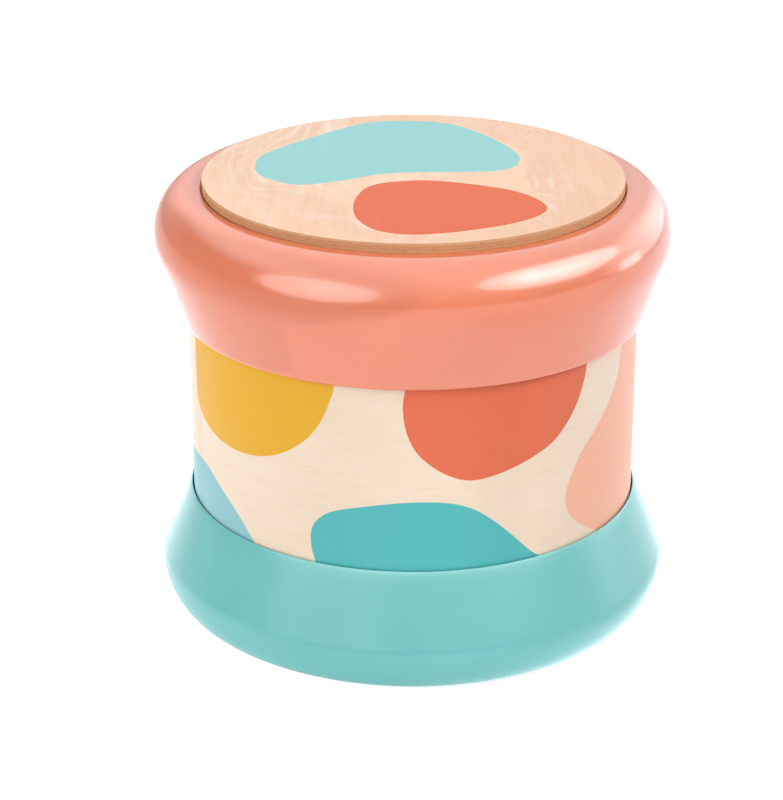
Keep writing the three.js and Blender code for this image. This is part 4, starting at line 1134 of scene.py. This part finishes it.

# %% [markdown]
# ## Springs and rubber dome
#
# Under the plate, three steel springs push it up again, and a rubber dome closes the contact.
# A spring is a round wire swept along a helix, whose last coils lie flat so that it stands
# square.

# %% Return springs
def spring_path(steps=240, turns=6.5, low=117.1, high=124.08, radius=4.4):
    """The wire's middle line: flat at both ends, rising in between."""
    path = []
    for i in range(steps + 1):
        coils = turns * i / steps
        height = low + (high - low) * min(max((coils - 1) / (turns - 2), 0), 1)
        angle = 2 * math.pi * coils
        path.append(Vector((radius * math.cos(angle), radius * math.sin(angle), height)) * MM)
    return path


def swept(shape, path, radius, sides=10):
    """A round wire along a path, closed at both ends."""
    rings = []
    for i, spot in enumerate(path):
        along = (path[min(i + 1, len(path) - 1)] - path[max(i - 1, 0)]).normalized()
        out = Vector((spot.x, spot.y, 0)).normalized()
        up = along.cross(out).normalized()
        out = up.cross(along)
        rings.append([
            shape.verts.new(spot + radius * MM * (math.cos(a) * out + math.sin(a) * up))
            for a in (2 * math.pi * k / sides for k in range(sides))
        ])
    closed_skin(shape, rings)


SPRING_CIRCLE = 40
WIRE_RADIUS = 0.48
for i, (x, y) in enumerate(around(3, SPRING_CIRCLE, 90), 1):
    wire = bmesh.new()
    swept(wire, spring_path(), WIRE_RADIUS)
    bmesh.ops.translate(wire, verts=wire.verts, vec=(x * MM, y * MM, 0))
    spring = make(f"wire_spring_{i}", wire, steel)
    settle(spring, "drum_body", "steel", f"return_spring_{i}")
    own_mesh(spring)

# %% Rubber dome
DOME_LOW = 118.5
dome_skin = [(3.6, 0), (5.9, 0), (6, 0.1), (6, 0.7), (5.85, 0.84)]
dome_skin += bend(dome_skin[-1], (4.75, 0.95), (4.4, 1.8), 6) + straight((4.4, 1.8), (3.5, 3.8), 4)
dome_skin += bend((3.5, 3.8), (3.3, 4.2), (2.9, 4.2), 5) + [(0, 4.2), (0, 3.36), (2.1, 3.36)]
dome = turned("contact_dome", foot_rubber, [(r, DOME_LOW + z) for r, z in dome_skin], 56)
settle(dome, "drum_body", "foot_rubber", "rubber_dome")
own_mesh(dome)

# %% [markdown]
# ## Finishes for the solids that stay
#
# The pieces inside keep their CAD shapes. Each gets its real finish.

# %% Finish the inner pieces
FINISH_OF_SLOT = {
    "white_plastic": white_plastic, "steel": steel, "dark_plastic": dark_plastic,
    "circuit_board": board_green, "paper_cone": cone_paper, "cell_case": cell_case,
    "lead_cover": lead_cover, "foot_rubber": foot_rubber, "turquoise_plastic": turquoise,
    "coral_plastic": coral, "plywood": shell_wood,
}
slots = {s["node"]: s["material_slot"] for s in frame["record"]["subparts"]}
for name, solid in nodes.items():
    solid.data.materials.clear()
    solid.data.materials.append(FINISH_OF_SLOT[slots[name]])
print(f"{len(nodes)} solids finished")

# %% [markdown]
# ## Floor
#
# The floor is a wide white sweep. It is plain white paper for the light, so it keeps the
# soft shadow under the drum, and it glows just enough for the camera to see it as white as
# the background. What the gloss sees of it is painted light and shade, tinted a little blue:
# its glow dims on the left, far away, and close to the drum as a painted shadow, so that the
# base ends in a clear line and the rim keeps its dark band.

# %% Floor
SEEN_GLOW = 0.72  # makes the paper white to the camera
sweep = Finish("white_sweep", Base_Color=(0.8, 0.8, 0.8, 1), Roughness=0.9, Specular_IOR_Level=0.0)
rays = sweep.node("ShaderNodeLightPath").outputs
sideways = sweep.node("ShaderNodeSeparateXYZ", sweep.spot).outputs["X"]
away = sweep.node("ShaderNodeVectorMath", sweep.spot, operation="LENGTH").outputs["Value"]
# Painted shadow in the gloss: close to the drum the floor's glow dims, except on the right.
painted_shadow_share = sweep.spread(away, 0.072, 0.1, 1, 0)
far = sweep.spread(away, 0.2, 0.7)


def towards_level(share, level):
    """1 where share is 0, and the level where it is 1."""
    return sweep.math("MULTIPLY_ADD", share, sweep.math("SUBTRACT", level, 1), 1)


# The glow that the gloss sees is painted light and shade, brighter or dimmer by where it is on the floor.
left_level = sweep.spread(sideways, -0.24, -0.05, 0.5, 1.7)
right_level = sweep.spread(sideways, 0.05, 0.13, 1, 0.65)
painted_shadow_level = towards_level(painted_shadow_share, sweep.spread(sideways, 0, 0.055, 0.18, 1.15))
far_level = towards_level(far, sweep.spread(sideways, 0, 0.1, 0.45, 1.25))
glow = sweep.in_gloss(rays)
for part in (left_level, right_level, painted_shadow_level, far_level):
    glow = sweep.times(glow, part)
glow = sweep.math("ADD", glow, sweep.times(rays["Is Camera Ray"], SEEN_GLOW))
# Painted reflection: what the gloss sees of the floor is tinted a little blue.
tint = sweep.mix(sweep.in_gloss(rays), (1, 1, 1, 1), (0.95, 1.0, 1.14, 1))
floor_finish = sweep.set(Emission_Color=tint, Emission_Strength=glow)
shape = bmesh.new()
bmesh.ops.create_grid(shape, x_segments=8, y_segments=8, size=6)
floor = make("floor", shape, floor_finish)
